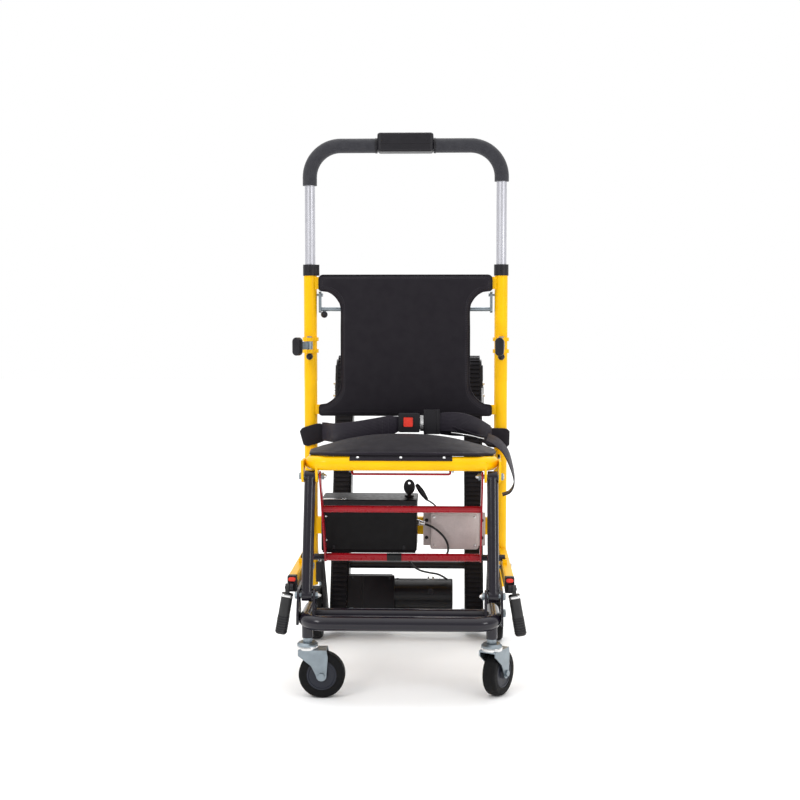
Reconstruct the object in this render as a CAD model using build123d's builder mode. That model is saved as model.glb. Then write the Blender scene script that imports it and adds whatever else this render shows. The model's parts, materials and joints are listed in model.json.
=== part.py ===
# Powered folding stair chair: push handle, seat, folding caster base and a rear track unit.
# Frame: +X to the viewer's right when facing the chair, -Y the chair's front, +Z up, floor at z = 0.
import math
import os

from build123d import *

os.makedirs("parts", exist_ok=True)

# ---------------------------------------------------------------- driving dimensions (mm)
upright_y = 48.0          # the uprights' axis, behind the middle of the object
upright_x = 234.0
tube_big = 32.0           # yellow frame tubes
tube_mid = 25.0           # legs, handle and cross tubes
wall = 3.0
upright_bottom = 150.0
upright_top = 917.0
bolt = 10.0
fit = 0.05                # radial running clearance
gap = 0.4                 # clearance beside soft parts and between plates

handle_bore = tube_mid / 2 + fit
handle_top = 1232.0
handle_bend = 76.0
handle_lower_end = 700.0
foam_d = 35.0

seat_pivot = (upright_y - 70.0, 478.0)        # (Y, Z)
seat_x = 201.0
seat_length = 273.5
seat_slope = 3.56         # degrees, front edge up
clevis_pin = (upright_y - 330.0, 465.0)       # front legs and brace hang here
leg_run = (-78.0, -251.0)                     # from the seat clevis to the base clevis
base_pin = (clevis_pin[0] + leg_run[0], clevis_pin[1] + leg_run[1])
base_pivot = (seat_pivot[0] + leg_run[0], seat_pivot[1] + leg_run[1])
leg_x = 202.5

base_z = 165.0
base_front = upright_y - 461.0
base_back = upright_y - 330.0
base_x = 202.0
cross_bar_y = upright_y - 374.0

caster_x = 198.0
caster_y = upright_y - 441.0
caster_trail = 31.0
caster_r = 50.0
caster_turn = {"left": 0.0, "right": 60.0}    # trail direction, degrees from +X

rear_axle = (upright_y + 60.0, 66.0)
rear_wheel_x = 228.0
rear_wheel_r = 66.0
rear_wheel_w = 32.0

track_pivot = (upright_y + 110.0, 52.0)
track_lean = 20.8
track_length = 660.0
belt_r = 40.0
belt_pitch = 12.0
belt_inner_x = 154.0
belt_outer_x = 192.0

arm_x = 240.0
arm_z = (212.0, 247.0)
arm_front = upright_y - 350.0
grip_pin = (upright_y - 373.0, 223.0)

brace_foot = (upright_y - 205.0, 259.3)       # the brace's stubs rest on the carry arms here
brace_d = (15.5, 18.0)          # upper and lower cross tubes
brace_bar = 4.0                # thickness of the flat side bars

latch_z = 835.0           # the cross rod behind the backrest
latch_pin_z = 870.0       # and the screws that it swings on


def write(part, name):
    """Label a finished piece and save it."""
    part.label = name
    export_step(part, f"parts/{name}.step")


def side_plane(x):
    """A YZ plane at x: local x is the row's Y, local y is the row's Z, normal +X."""
    return Plane(origin=(x, 0, 0), x_dir=(0, 1, 0), z_dir=(1, 0, 0))


def front_plane(y):
    """An XZ plane at y: local x is the row's X, local y is the row's Z, normal -Y."""
    return Plane(origin=(0, y, 0), x_dir=(1, 0, 0), z_dir=(0, -1, 0))


sides = {"left": -1, "right": 1}
slope = math.radians(seat_slope)
seat_plane = Plane(
    origin=(0, seat_pivot[0], seat_pivot[1]),
    x_dir=(1, 0, 0),
    z_dir=(0, math.sin(slope), math.cos(slope)),
)
lean = math.radians(track_lean)
track_up = (math.sin(lean), math.cos(lean))


def on_track(along, across=0.0):
    """Row (Y, Z) of a point up the track's centreline and out to its front face."""
    y = track_pivot[0] + along * track_up[0] - across * track_up[1]
    z = track_pivot[1] + along * track_up[1] + across * track_up[0]
    return (y, z)


def track_plane(x):
    """A plane at x whose local x runs up the track and local y runs towards its rear face."""
    return Plane(
        origin=(x, track_pivot[0], track_pivot[1]),
        x_dir=(0, track_up[0], track_up[1]),
        z_dir=(-1, 0, 0),
    )


# ---------------------------------------------------------------- main frame
with BuildPart() as uprights:
    with BuildSketch(Plane.XY.offset(upright_bottom)):
        with Locations((-upright_x, upright_y), (upright_x, upright_y)):
            Circle(tube_big / 2)
            Circle(handle_bore, mode=Mode.SUBTRACT)
    extrude(amount=upright_top - upright_bottom)
    with BuildSketch(side_plane(-upright_x)):
        with Locations((upright_y, latch_pin_z)):
            Circle(3.02)
    extrude(amount=2 * upright_x, mode=Mode.SUBTRACT)
write(uprights.part, "uprights")

tab_rows = ((884.0, 914.0), (577.0, 601.0))
lug_rows = ((728.0, 737.0), (757.0, 766.0))     # the two lugs of the side handle's yoke
lever_z = (737.4, 756.6)
side_pin_y = upright_y - 28.0
with BuildPart() as frame_brackets:
    # lower cross member, a rectangular tube between the uprights
    with BuildSketch(side_plane(-upright_x)):
        with Locations((upright_y, 300)):
            Rectangle(20, 42)
            Rectangle(15, 37, mode=Mode.SUBTRACT)
    extrude(amount=2 * upright_x)
    for side in sides.values():
        # seat pivot ear on the front of the upright
        with BuildSketch(side_plane(side * 221.5)):
            with BuildLine():
                Polyline(
                    (upright_y - 10, 460), (upright_y - 10, 493.5), (seat_pivot[0] - 14, 493.5),
                    (seat_pivot[0] - 17, 478), (seat_pivot[0] - 14, 462), close=True,
                )
            make_face()
            with Locations(seat_pivot):
                Circle(bolt / 2 + 0.02, mode=Mode.SUBTRACT)
        extrude(amount=2.5, both=True)
        # tabs that carry the backrest
        for z_low, z_high in tab_rows:
            with Locations((side * 212.5, upright_y - 9.5, (z_low + z_high) / 2)):
                Box(19, 3, z_high - z_low)
        # clamp band and lugs of the side handle
        for z_low, z_high in lug_rows:
            with BuildSketch(Plane.XY.offset(z_low)):
                with Locations((side * upright_x, upright_y)):
                    Circle(tube_big / 2 + 4)
                with Locations((side * upright_x, side_pin_y)):
                    Circle(8)
                with Locations((side * upright_x, side_pin_y + 6)):
                    Rectangle(16, 16)
                with Locations((side * upright_x, side_pin_y)):
                    Circle(3.02, mode=Mode.SUBTRACT)
            extrude(amount=z_high - z_low)
    # everything stops at the uprights' outer surface
    with BuildSketch(Plane.XY.offset(upright_bottom)):
        with Locations((-upright_x, upright_y), (upright_x, upright_y)):
            Circle(tube_big / 2)
    extrude(amount=upright_top - upright_bottom, mode=Mode.SUBTRACT)
write(frame_brackets.part, "frame_brackets")

with BuildPart() as carry_arms:
    for side in sides.values():
        with BuildSketch(front_plane(upright_y)):
            with Locations((side * arm_x, sum(arm_z) / 2)):
                RectangleRounded(20, arm_z[1] - arm_z[0], 3)
                Rectangle(15, arm_z[1] - arm_z[0] - 5, mode=Mode.SUBTRACT)
        extrude(amount=upright_y - arm_front)
        # saddle that catches the brace's stub
        with BuildSketch(side_plane(side * (arm_x - 4))):
            with Locations((brace_foot[0], arm_z[1] + 5.4)):
                Rectangle(34, 11)
            with Locations(brace_foot):
                Circle(8, mode=Mode.SUBTRACT)
        extrude(amount=5, both=True)
    # holes of the base pivot bolt
    with BuildSketch(side_plane(-arm_x - 20)):
        with Locations(base_pivot):
            Circle(bolt / 2 + 0.02)
    extrude(amount=2 * (arm_x + 20), mode=Mode.SUBTRACT)
    with BuildSketch(Plane.XY.offset(upright_bottom)):
        with Locations((-upright_x, upright_y), (upright_x, upright_y)):
            Circle(tube_big / 2)
    extrude(amount=upright_top - upright_bottom, mode=Mode.SUBTRACT)
write(carry_arms.part, "carry_arms")

cap_length = 14.0
button_z = 239.5
with BuildPart() as arm_end_caps:
    for side in sides.values():
        with BuildSketch(front_plane(arm_front)):
            with Locations((side * arm_x, sum(arm_z) / 2)):
                RectangleRounded(21, arm_z[1] - arm_z[0] + 1, 3)
        extrude(amount=cap_length)
        with BuildSketch(side_plane(side * arm_x)):
            with Locations(grip_pin):
                Circle(9)
            with Locations((grip_pin[0] + 5, grip_pin[1])):
                Rectangle(10, 18)
        extrude(amount=4, both=True)
        # pocket of the release button
        with BuildSketch(front_plane(arm_front - cap_length)):
            with Locations((side * arm_x, button_z)):
                SlotOverall(16.6, 9.6)
        extrude(amount=-9, mode=Mode.SUBTRACT)
        # grip pin, one with the lug
        with BuildSketch(side_plane(side * arm_x)):
            with Locations(grip_pin):
                Circle(3)
        extrude(amount=side * 15)
write(arm_end_caps.part, "arm_end_caps")

with BuildPart() as upright_collars:
    with BuildSketch(Plane.XY.offset(upright_top)):
        with Locations((-upright_x, upright_y), (upright_x, upright_y)):
            Circle(17.75)
        with Locations((-upright_x + 17.5, upright_y)):
            Circle(5)
        with Locations((-upright_x, upright_y), (upright_x, upright_y)):
            Circle(handle_bore, mode=Mode.SUBTRACT)
    extrude(amount=27)
write(upright_collars.part, "upright_collars")

# ---------------------------------------------------------------- rear axle and its brackets
with BuildPart() as axle_brackets:
    for side in sides.values():
        with BuildSketch(side_plane(side * 206)):
            with Locations(rear_axle):
                Circle(17)
            with Locations(track_pivot):
                Circle(19)
            with Locations((upright_y - 4, 205), (upright_y + 4, 205)):
                Circle(8)
            make_hull()
            with Locations(rear_axle):
                Circle(7.02, mode=Mode.SUBTRACT)
            with Locations(track_pivot):
                Circle(12 + fit, mode=Mode.SUBTRACT)
        extrude(amount=3, both=True)
        with Locations((side * 217, upright_y, 183)):
            Box(16, 22, 50)
    with BuildSketch(Plane.XY.offset(upright_bottom)):
        with Locations((-upright_x, upright_y), (upright_x, upright_y)):
            Circle(tube_big / 2)
    extrude(amount=upright_top - upright_bottom, mode=Mode.SUBTRACT)
write(axle_brackets.part, "axle_brackets")

for name, side in sides.items():
    wheel_centre = (side * rear_wheel_x, *rear_axle)
    centre = Plane(origin=wheel_centre, x_dir=(0, 1, 0), z_dir=(side, 0, 0))
    with BuildPart() as rear_wheel:
        with BuildSketch(centre):
            Circle(rear_wheel_r)
        extrude(amount=rear_wheel_w / 2, both=True)
        chamfer(rear_wheel.edges().filter_by(GeomType.CIRCLE), 4)
        for face_side in (1, -1):
            with BuildSketch(centre.offset(face_side * rear_wheel_w / 2)):
                Circle(47)
                Circle(18, mode=Mode.SUBTRACT)
            extrude(amount=-face_side * 6, mode=Mode.SUBTRACT)
        with BuildSketch(centre.offset(-rear_wheel_w / 2)):
            Circle(7 + fit)
        extrude(amount=rear_wheel_w, mode=Mode.SUBTRACT)
    write(rear_wheel.part, f"rear_wheel_{name}")

# ---------------------------------------------------------------- push handle
handle_points = (
    (-upright_x, upright_y, handle_lower_end),
    (-upright_x, upright_y, handle_top),
    (upright_x, upright_y, handle_top),
    (upright_x, upright_y, handle_lower_end),
)
with BuildPart() as handle_tube:
    with BuildLine() as handle_path:
        FilletPolyline(*handle_points, radius=handle_bend)
    with BuildSketch(Plane.XY.offset(handle_lower_end)):
        with Locations((-upright_x, upright_y)):
            Circle(tube_mid / 2)
            Circle(tube_mid / 2 - 2, mode=Mode.SUBTRACT)
    sweep()
write(handle_tube.part, "handle_tube")

control_half_w = 68.0
with BuildPart() as foam_grips:
    for side, z_end in ((-1, 1136.0), (1, 1145.0)):
        with BuildLine() as foam_path:
            FilletPolyline(
                (side * upright_x, upright_y, z_end),
                (side * upright_x, upright_y, handle_top),
                (side * (control_half_w + gap), upright_y, handle_top),
                radius=handle_bend,
            )
        with BuildSketch(Plane.XY.offset(z_end)):
            with Locations((side * upright_x, upright_y)):
                Circle(foam_d / 2)
                Circle(tube_mid / 2 + fit, mode=Mode.SUBTRACT)
        sweep()
write(foam_grips.part, "foam_grips")

control_z = (1215.0, 1233.4, 1261.0)
control_depth = 52.0
rocker_z = 1248.0
power_x = 44.0
control_rear = upright_y + control_depth / 2


def control_half(z_low, z_high):
    """One half of the control box, clamped round the handle's top tube."""
    with BuildPart() as half:
        with Locations((0, upright_y, (z_low + z_high) / 2)):
            Box(2 * control_half_w, control_depth, z_high - z_low)
        fillet(half.edges().filter_by(Axis.Z), 9)
        outer = half.faces().sort_by(Axis.Z)[-1 if z_high == control_z[2] else 0]
        fillet(outer.edges(), 6)
        with BuildSketch(side_plane(-control_half_w)):
            with Locations((upright_y, handle_top)):
                Circle(tube_mid / 2 + fit)
        extrude(amount=2 * control_half_w, mode=Mode.SUBTRACT)
        with BuildSketch(front_plane(control_rear)):
            with Locations((0, rocker_z)):
                Rectangle(27, 17)
            with Locations((power_x, rocker_z)):
                Circle(6.4)
        extrude(amount=8, mode=Mode.SUBTRACT)
    return half.part


write(control_half(control_z[0], control_z[1]), "control_box_lower")
write(control_half(control_z[1] + 0.3, control_z[2]), "control_box_upper")

with BuildPart() as drive_rocker:
    with Locations((0, control_rear - 1, rocker_z)):
        Box(25, 7, 14)
    fillet(drive_rocker.edges().filter_by(Axis.X), 1.5)
    # the pin that it rocks on
    with BuildSketch(side_plane(-13.3)):
        with Locations((control_rear - 1, rocker_z)):
            Circle(2)
    extrude(amount=26.6)
write(drive_rocker.part, "drive_rocker")

with BuildPart() as power_button:
    with BuildSketch(front_plane(control_rear + 3)):
        with Locations((power_x, rocker_z)):
            Circle(6)
    extrude(amount=7)
    fillet(power_button.edges().sort_by(Axis.Y)[-1], 1)
write(power_button.part, "power_button")

# ---------------------------------------------------------------- backrest, side bands, latch rod
back_half, waist_half = 212.0, 158.0
with BuildPart() as backrest_pad:
    with BuildSketch(front_plane(upright_y - 12)):
        with BuildLine():
            Line((-back_half, 919), (back_half, 919))
            Line((back_half, 919), (back_half, 879))
            ThreePointArc((back_half, 879), (174, 867), (waist_half, 836))
            Line((waist_half, 836), (waist_half, 652))
            ThreePointArc((waist_half, 652), (174, 616), (back_half, 602))
            Line((back_half, 602), (back_half, 574))
            Line((back_half, 574), (-back_half, 574))
            Line((-back_half, 574), (-back_half, 602))
            ThreePointArc((-back_half, 602), (-174, 616), (-waist_half, 652))
            Line((-waist_half, 652), (-waist_half, 836))
            ThreePointArc((-waist_half, 836), (-174, 867), (-back_half, 879))
            Line((-back_half, 879), (-back_half, 919))
        make_face()
    extrude(amount=11)
write(backrest_pad.part, "backrest_pad")

with BuildPart() as side_bands:
    for side in sides.values():
        with BuildSketch(front_plane(upright_y - 16.6)) as band_outline:
            with Locations((side * 226, 520)):
                Rectangle(62, 48)
            chamfer(band_outline.vertices(), 7)
        extrude(amount=4)
write(side_bands.part, "side_bands")

with BuildPart() as latch_rod:
    with BuildSketch(side_plane(-207)):
        with Locations((upright_y, latch_z)):
            Circle(5)
    extrude(amount=414)
    for side in sides.values():
        with BuildSketch(side_plane(side * 210)):
            with Locations((upright_y, (latch_z + latch_pin_z) / 2)):
                SlotOverall(latch_pin_z - latch_z + 18, 16, rotation=90)
            with Locations((upright_y, latch_pin_z)):
                Circle(3 + fit, mode=Mode.SUBTRACT)
        extrude(amount=3, both=True)
    with Locations((-200, upright_y, latch_z - 13)):
        Sphere(8)
    with BuildSketch(Plane.XY.offset(latch_z - 13)):
        with Locations((-200, upright_y)):
            Circle(3)
    extrude(amount=12)
write(latch_rod.part, "latch_rod")

# ---------------------------------------------------------------- side handles
lever_angle = {"left": 27.0, "right": -7.0}   # degrees outward from straight ahead
for name, side in sides.items():
    turn = math.radians(lever_angle[name])
    forward = Vector(side * math.sin(turn), -math.cos(turn), 0)
    pin_top = Vector(side * upright_x, side_pin_y, lever_z[0])
    lever_plane = Plane(origin=pin_top, x_dir=forward, z_dir=(0, 0, 1))
    with BuildPart() as side_handle:
        with BuildSketch(lever_plane):
            Circle(8)
            with Locations((26, 0)):
                Rectangle(44, 5)
            Circle(3 + fit, mode=Mode.SUBTRACT)
        extrude(amount=lever_z[1] - lever_z[0])
        cap_centre = pin_top + forward * 46 + Vector(0, 0, 8)
        with BuildSketch(Plane(origin=cap_centre, x_dir=(0, 0, 1), z_dir=forward)):
            SlotOverall(43, 20)
        extrude(amount=14)
    write(side_handle.part, f"side_handle_{name}")

# ---------------------------------------------------------------- seat
with BuildPart() as seat_frame:
    with BuildLine(seat_plane) as seat_path:
        FilletPolyline(
            (-seat_x, 12), (-seat_x, -seat_length), (seat_x, -seat_length), (seat_x, 12),
            radius=45,
        )
    with BuildSketch(seat_path.line ^ 0):
        Circle(tube_big / 2)
        Circle(tube_big / 2 - wall, mode=Mode.SUBTRACT)
    sweep()
    with BuildSketch(side_plane(-seat_x - 20)):
        with Locations(seat_pivot):
            Circle(bolt / 2 + fit)
    extrude(amount=2 * seat_x + 40, mode=Mode.SUBTRACT)
write(seat_frame.part, "seat_frame")

with BuildPart() as seat_core:
    with BuildLine(seat_plane) as core_path:
        FilletPolyline(
            (-seat_x, 12), (-seat_x, -seat_length), (seat_x, -seat_length), (seat_x, 12),
            radius=45,
        )
    with BuildSketch(core_path.line ^ 0):
        Circle(tube_big / 2 + 0.02)
    sweep()

with BuildPart() as seat_clevises:
    for side in sides.values():
        for x_plate in (187.0, 218.5):
            with BuildSketch(side_plane(side * x_plate)):
                with Locations(clevis_pin):
                    Circle(14)
                with Locations((clevis_pin[0] + 6, clevis_pin[1] + 30)):
                    Rectangle(52, 12)
                make_hull()
                with Locations(clevis_pin):
                    Circle(bolt / 2 + 0.02, mode=Mode.SUBTRACT)
            extrude(amount=2.5, both=True)
    add(seat_core.part, mode=Mode.SUBTRACT)
write(seat_clevises.part, "seat_clevises")

pad_lift = tube_big / 2 + gap
pad_thick = 22.0
with BuildPart() as seat_pad:
    with BuildSketch(seat_plane.offset(pad_lift)) as pad_outline:
        with BuildLine():
            Polyline(
                (-189, 66), (189, 66), (189, 40), (204, 28), (215, -150), (206, -245),
                (168, -284), (-168, -284), (-206, -245), (-215, -150), (-204, 28), (-189, 40),
                close=True,
            )
        make_face()
        fillet(pad_outline.vertices().group_by(Axis.Y)[-1], 10)
        fillet(pad_outline.vertices().group_by(Axis.Y)[0], 18)
    extrude(amount=pad_thick)
    fillet(seat_pad.faces().sort_by(Axis.Z)[-1].edges(), 9)
write(seat_pad.part, "seat_pad")

release_pin = (clevis_pin[0] + 10, clevis_pin[1] + 13)
release_low = (release_pin[0] - 4, release_pin[1] - 9)
with BuildPart() as release_bar:
    with BuildLine() as release_path:
        FilletPolyline(
            (-119, *release_pin), (-109, *release_pin), (-109, *release_low),
            (109, *release_low), (109, *release_pin), (119, *release_pin), radius=4,
        )
    with BuildSketch(release_path.line ^ 0):
        Circle(2.5)
    sweep()
write(release_bar.part, "release_bar")

# ---------------------------------------------------------------- lap belt
belt_y = upright_y - 150.0
belt_t = 2.6
with BuildPart() as belt_webbing:
    # left strap, from the left band to the buckle
    with BuildSketch(Plane.XY.offset(526)):
        with BuildLine():
            Spline((-208, upright_y - 23), (-185, upright_y - 58), (-110, belt_y + 22), (-13, belt_y))
        trace(line_width=belt_t)
    extrude(amount=46)
    # right strap, from the adjuster to the right band
    with BuildSketch(Plane.XY.offset(526)):
        with BuildLine():
            Spline((87, belt_y), (150, belt_y + 22), (190, upright_y - 70), (207, upright_y - 23))
        trace(line_width=belt_t)
    extrude(amount=46)
    # loose tail over the right side of the seat
    with BuildSketch(front_plane(upright_y - 66)):
        with BuildLine():
            Spline((232, 520), (250, 492), (258, 450), (252, 405), (232, 392))
        trace(line_width=belt_t)
    extrude(amount=40)
write(belt_webbing.part, "belt_webbing")

with BuildPart() as buckle_housing:
    with BuildSketch(front_plane(belt_y + 10)) as buckle_outline:
        with Locations((13, 569)):
            Rectangle(50, 45)
        fillet(buckle_outline.vertices(), 4)
    extrude(amount=20)
    fillet(buckle_housing.faces().sort_by(Axis.Y)[0].edges(), 2)
    with BuildSketch(front_plane(belt_y - 10)):
        with Locations((11, 571)):
            Rectangle(23, 23)
    extrude(amount=-8, mode=Mode.SUBTRACT)
write(buckle_housing.part, "buckle_housing")

with BuildPart() as buckle_button:
    with BuildSketch(front_plane(belt_y - 5)) as button_outline:
        with Locations((11, 571)):
            Rectangle(22, 22)
        fillet(button_outline.vertices(), 2)
    extrude(amount=4.5)
write(buckle_button.part, "buckle_button")

with BuildPart() as belt_tongue:
    with Locations((43, belt_y, 569)):
        Box(9, 3, 40)
    with Locations((66, belt_y, 571)):
        Box(38, 12, 58)
    fillet(belt_tongue.edges().filter_by(Axis.Y), 2)
write(belt_tongue.part, "belt_tongue")

# ---------------------------------------------------------------- front legs
leg_dir = Vector(0, *leg_run).normalized()
with BuildPart() as front_legs:
    for side in sides.values():
        top = Vector(side * leg_x, *clevis_pin)
        leg_length = math.hypot(*leg_run)
        with BuildSketch(Plane(origin=top, x_dir=(1, 0, 0), z_dir=leg_dir)):
            Circle(tube_mid / 2)
            Circle(tube_mid / 2 - 2.5, mode=Mode.SUBTRACT)
        extrude(amount=leg_length)
        for pin in (clevis_pin, base_pin):
            with BuildSketch(side_plane(side * leg_x)):
                with Locations(pin):
                    Circle(tube_mid / 2)
            extrude(amount=11, both=True)
    with BuildSketch(side_plane(-leg_x - 20)):
        with Locations(clevis_pin):
            Circle(bolt / 2 + fit)
        with Locations(base_pin):
            Circle(bolt / 2 + 0.3)
    extrude(amount=2 * leg_x + 40, mode=Mode.SUBTRACT)
write(front_legs.part, "front_legs")

# ---------------------------------------------------------------- red brace frame
brace_run = (brace_foot[0] - clevis_pin[0], brace_foot[1] - clevis_pin[1])
brace_length = math.hypot(*brace_run)
brace_dir = (brace_run[0] / brace_length, brace_run[1] / brace_length)
upper_reach = 95.0
brace_upper = (clevis_pin[0] + upper_reach * brace_dir[0], clevis_pin[1] + upper_reach * brace_dir[1])
bar_x = 180.0
with BuildPart() as brace_frame:
    for side in sides.values():
        with BuildSketch(side_plane(side * bar_x)):
            with Locations(clevis_pin, brace_foot):
                Circle(11)
            make_hull()
            with Locations(clevis_pin):
                Circle(bolt / 2 + fit, mode=Mode.SUBTRACT)
        extrude(amount=brace_bar / 2, both=True)
    for place, diameter in zip((brace_upper, brace_foot), brace_d):
        with BuildSketch(side_plane(-bar_x)):
            with Locations(place):
                Circle(diameter / 2)
        extrude(amount=2 * bar_x)
write(brace_frame.part, "brace_frame")

with BuildPart() as brace_stubs:
    for side in sides.values():
        with BuildSketch(side_plane(side * (bar_x + brace_bar / 2))):
            with Locations(brace_foot):
                Circle(7.5)
        extrude(amount=side * 55)
write(brace_stubs.part, "brace_stubs")

# ---------------------------------------------------------------- caster base
base_points = (
    (-base_x, base_back, base_z), (-base_x, base_front, base_z),
    (base_x, base_front, base_z), (base_x, base_back, base_z),
)
with BuildPart() as base_frame:
    with BuildLine() as base_path:
        FilletPolyline(*base_points, radius=40)
    with BuildSketch(base_path.line ^ 0):
        Circle(tube_big / 2)
        Circle(tube_big / 2 - wall, mode=Mode.SUBTRACT)
    sweep()
    with BuildSketch(side_plane(-base_x + 14.5)):
        with Locations((cross_bar_y, base_z)):
            Circle(tube_mid / 2)
    extrude(amount=2 * base_x - 29)
    # plugs in the open ends
    for side in sides.values():
        with BuildSketch(Plane(origin=(side * base_x, base_back, base_z), x_dir=(1, 0, 0), z_dir=(0, 1, 0))):
            Circle(tube_big / 2)
        extrude(amount=4)
write(base_frame.part, "base_frame")

with BuildPart() as base_core:
    with BuildLine() as base_core_path:
        FilletPolyline(*base_points, radius=40)
    with BuildSketch(base_core_path.line ^ 0):
        Circle(tube_big / 2 + 0.02)
    sweep()
    with BuildSketch(side_plane(-base_x)):
        with Locations((cross_bar_y, base_z)):
            Circle(tube_mid / 2 + 0.02)
    extrude(amount=2 * base_x)

with BuildPart() as base_plates:
    for side in sides.values():
        # inner clevis plate of the leg's foot
        with BuildSketch(side_plane(side * 186)):
            with Locations(base_pin):
                Circle(14)
            with Locations((base_pin[0], base_z)):
                Rectangle(60, 20)
            make_hull()
            with Locations(base_pin):
                Circle(bolt / 2 + 0.02, mode=Mode.SUBTRACT)
        extrude(amount=2.5, both=True)
        # outer clevis plate
        with BuildSketch(side_plane(side * 220.7)):
            with Locations(base_pin):
                Circle(14)
            with Locations((base_pin[0], base_z)):
                Rectangle(60, 20)
            make_hull()
            with Locations(base_pin):
                Circle(bolt / 2 + 0.02, mode=Mode.SUBTRACT)
        extrude(amount=2.5, both=True)
        # link plate back to the base pivot, one with the outer clevis plate
        with BuildSketch(side_plane(side * 220.7)):
            with Locations(base_pin, base_pivot):
                Circle(14)
            make_hull()
            with Locations(base_pin):
                Circle(bolt / 2 + 0.02, mode=Mode.SUBTRACT)
            with Locations(base_pivot):
                Circle(bolt / 2 + fit, mode=Mode.SUBTRACT)
        extrude(amount=2.5, both=True)
        # caster socket under the tube
        with BuildSketch(Plane.XY.offset(130)):
            with Locations((side * caster_x, caster_y)):
                Circle(12)
        extrude(amount=25)
    add(base_core.part, mode=Mode.SUBTRACT)
    with BuildSketch(Plane.XY.offset(129)):
        with Locations((-caster_x, caster_y), (caster_x, caster_y)):
            Circle(bolt / 2 + fit)
    extrude(amount=40, mode=Mode.SUBTRACT)
write(base_plates.part, "base_side_plates")


def cross_bolt(pin, x_from, x_to, side):
    """A bolt along X between two absolute x values, with a hexagon at each end."""
    with BuildPart() as screw:
        with BuildSketch(side_plane(side * x_from)):
            with Locations(pin):
                Circle(bolt / 2)
        extrude(amount=side * (x_to - x_from))
        for x_end in (x_from - 5, x_to):
            with BuildSketch(side_plane(side * x_end)):
                with Locations(pin):
                    RegularPolygon(8.5, 6)
            extrude(amount=side * 5)
    return screw.part


seat_pivot_bolts = [cross_bolt(seat_pivot, 184, 224.5, side) for side in sides.values()]
base_pivot_bolts = [cross_bolt(base_pivot, 217.7, 250.3, side) for side in sides.values()]
with BuildPart() as axle_and_bolts:
    add(seat_pivot_bolts)
    add(base_pivot_bolts)
    with BuildSketch(side_plane(-253)):
        with Locations(rear_axle):
            Circle(7)
    extrude(amount=506)
    for x_collar in (-140, 145):
        with BuildSketch(side_plane(x_collar)):
            with Locations(rear_axle):
                Circle(11)
        extrude(amount=5, both=True)
    for side in sides.values():
        with BuildSketch(side_plane(side * 245.5)):
            with Locations(rear_axle):
                RegularPolygon(11, 6)
        extrude(amount=side * 7)
    for side in sides.values():
        # latch rod screws with wing heads
        with BuildSketch(side_plane(side * 206.4)):
            with Locations((upright_y, latch_pin_z)):
                Circle(3)
        extrude(amount=side * 14.8)
        with BuildSketch(side_plane(side * 203.4)):
            with Locations((upright_y, latch_pin_z)):
                SlotOverall(20, 8)
        extrude(amount=side * 3)
        # side handle pins with lock knobs below
        with BuildSketch(Plane.XY.offset(lug_rows[0][0] - 4)):
            with Locations((side * upright_x, side_pin_y)):
                Circle(3)
        extrude(amount=lug_rows[1][1] - lug_rows[0][0] + 4)
        with Locations((side * upright_x, side_pin_y, lug_rows[0][0] - 8.5)):
            Sphere(8)
        with BuildSketch(Plane.XY.offset(lug_rows[1][1])):
            with Locations((side * upright_x, side_pin_y)):
                Circle(6)
        extrude(amount=3)
write(axle_and_bolts.part, "axle_and_bolts")

foot_bolts = [cross_bolt(base_pin, 183.3, 223.4, side) for side in sides.values()]
with BuildPart() as base_bolts:
    add(foot_bolts)
write(base_bolts.part, "base_bolts")

clevis_bolts = [cross_bolt(clevis_pin, 176.3, 221.2, side) for side in sides.values()]
with BuildPart() as seat_bolts:
    add(clevis_bolts)
    # lugs under the front tube that hold the release bar
    for side in sides.values():
        with BuildSketch(side_plane(side * 115)):
            with Locations(release_pin):
                Circle(6)
            with Locations((release_pin[0] - 8, release_pin[1] + 10)):
                Circle(6)
            make_hull()
            with Locations(release_pin):
                Circle(2.5 + fit, mode=Mode.SUBTRACT)
        extrude(amount=1.5, both=True)
    add(seat_core.part, mode=Mode.SUBTRACT)
write(seat_bolts.part, "seat_bolts")

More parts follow.
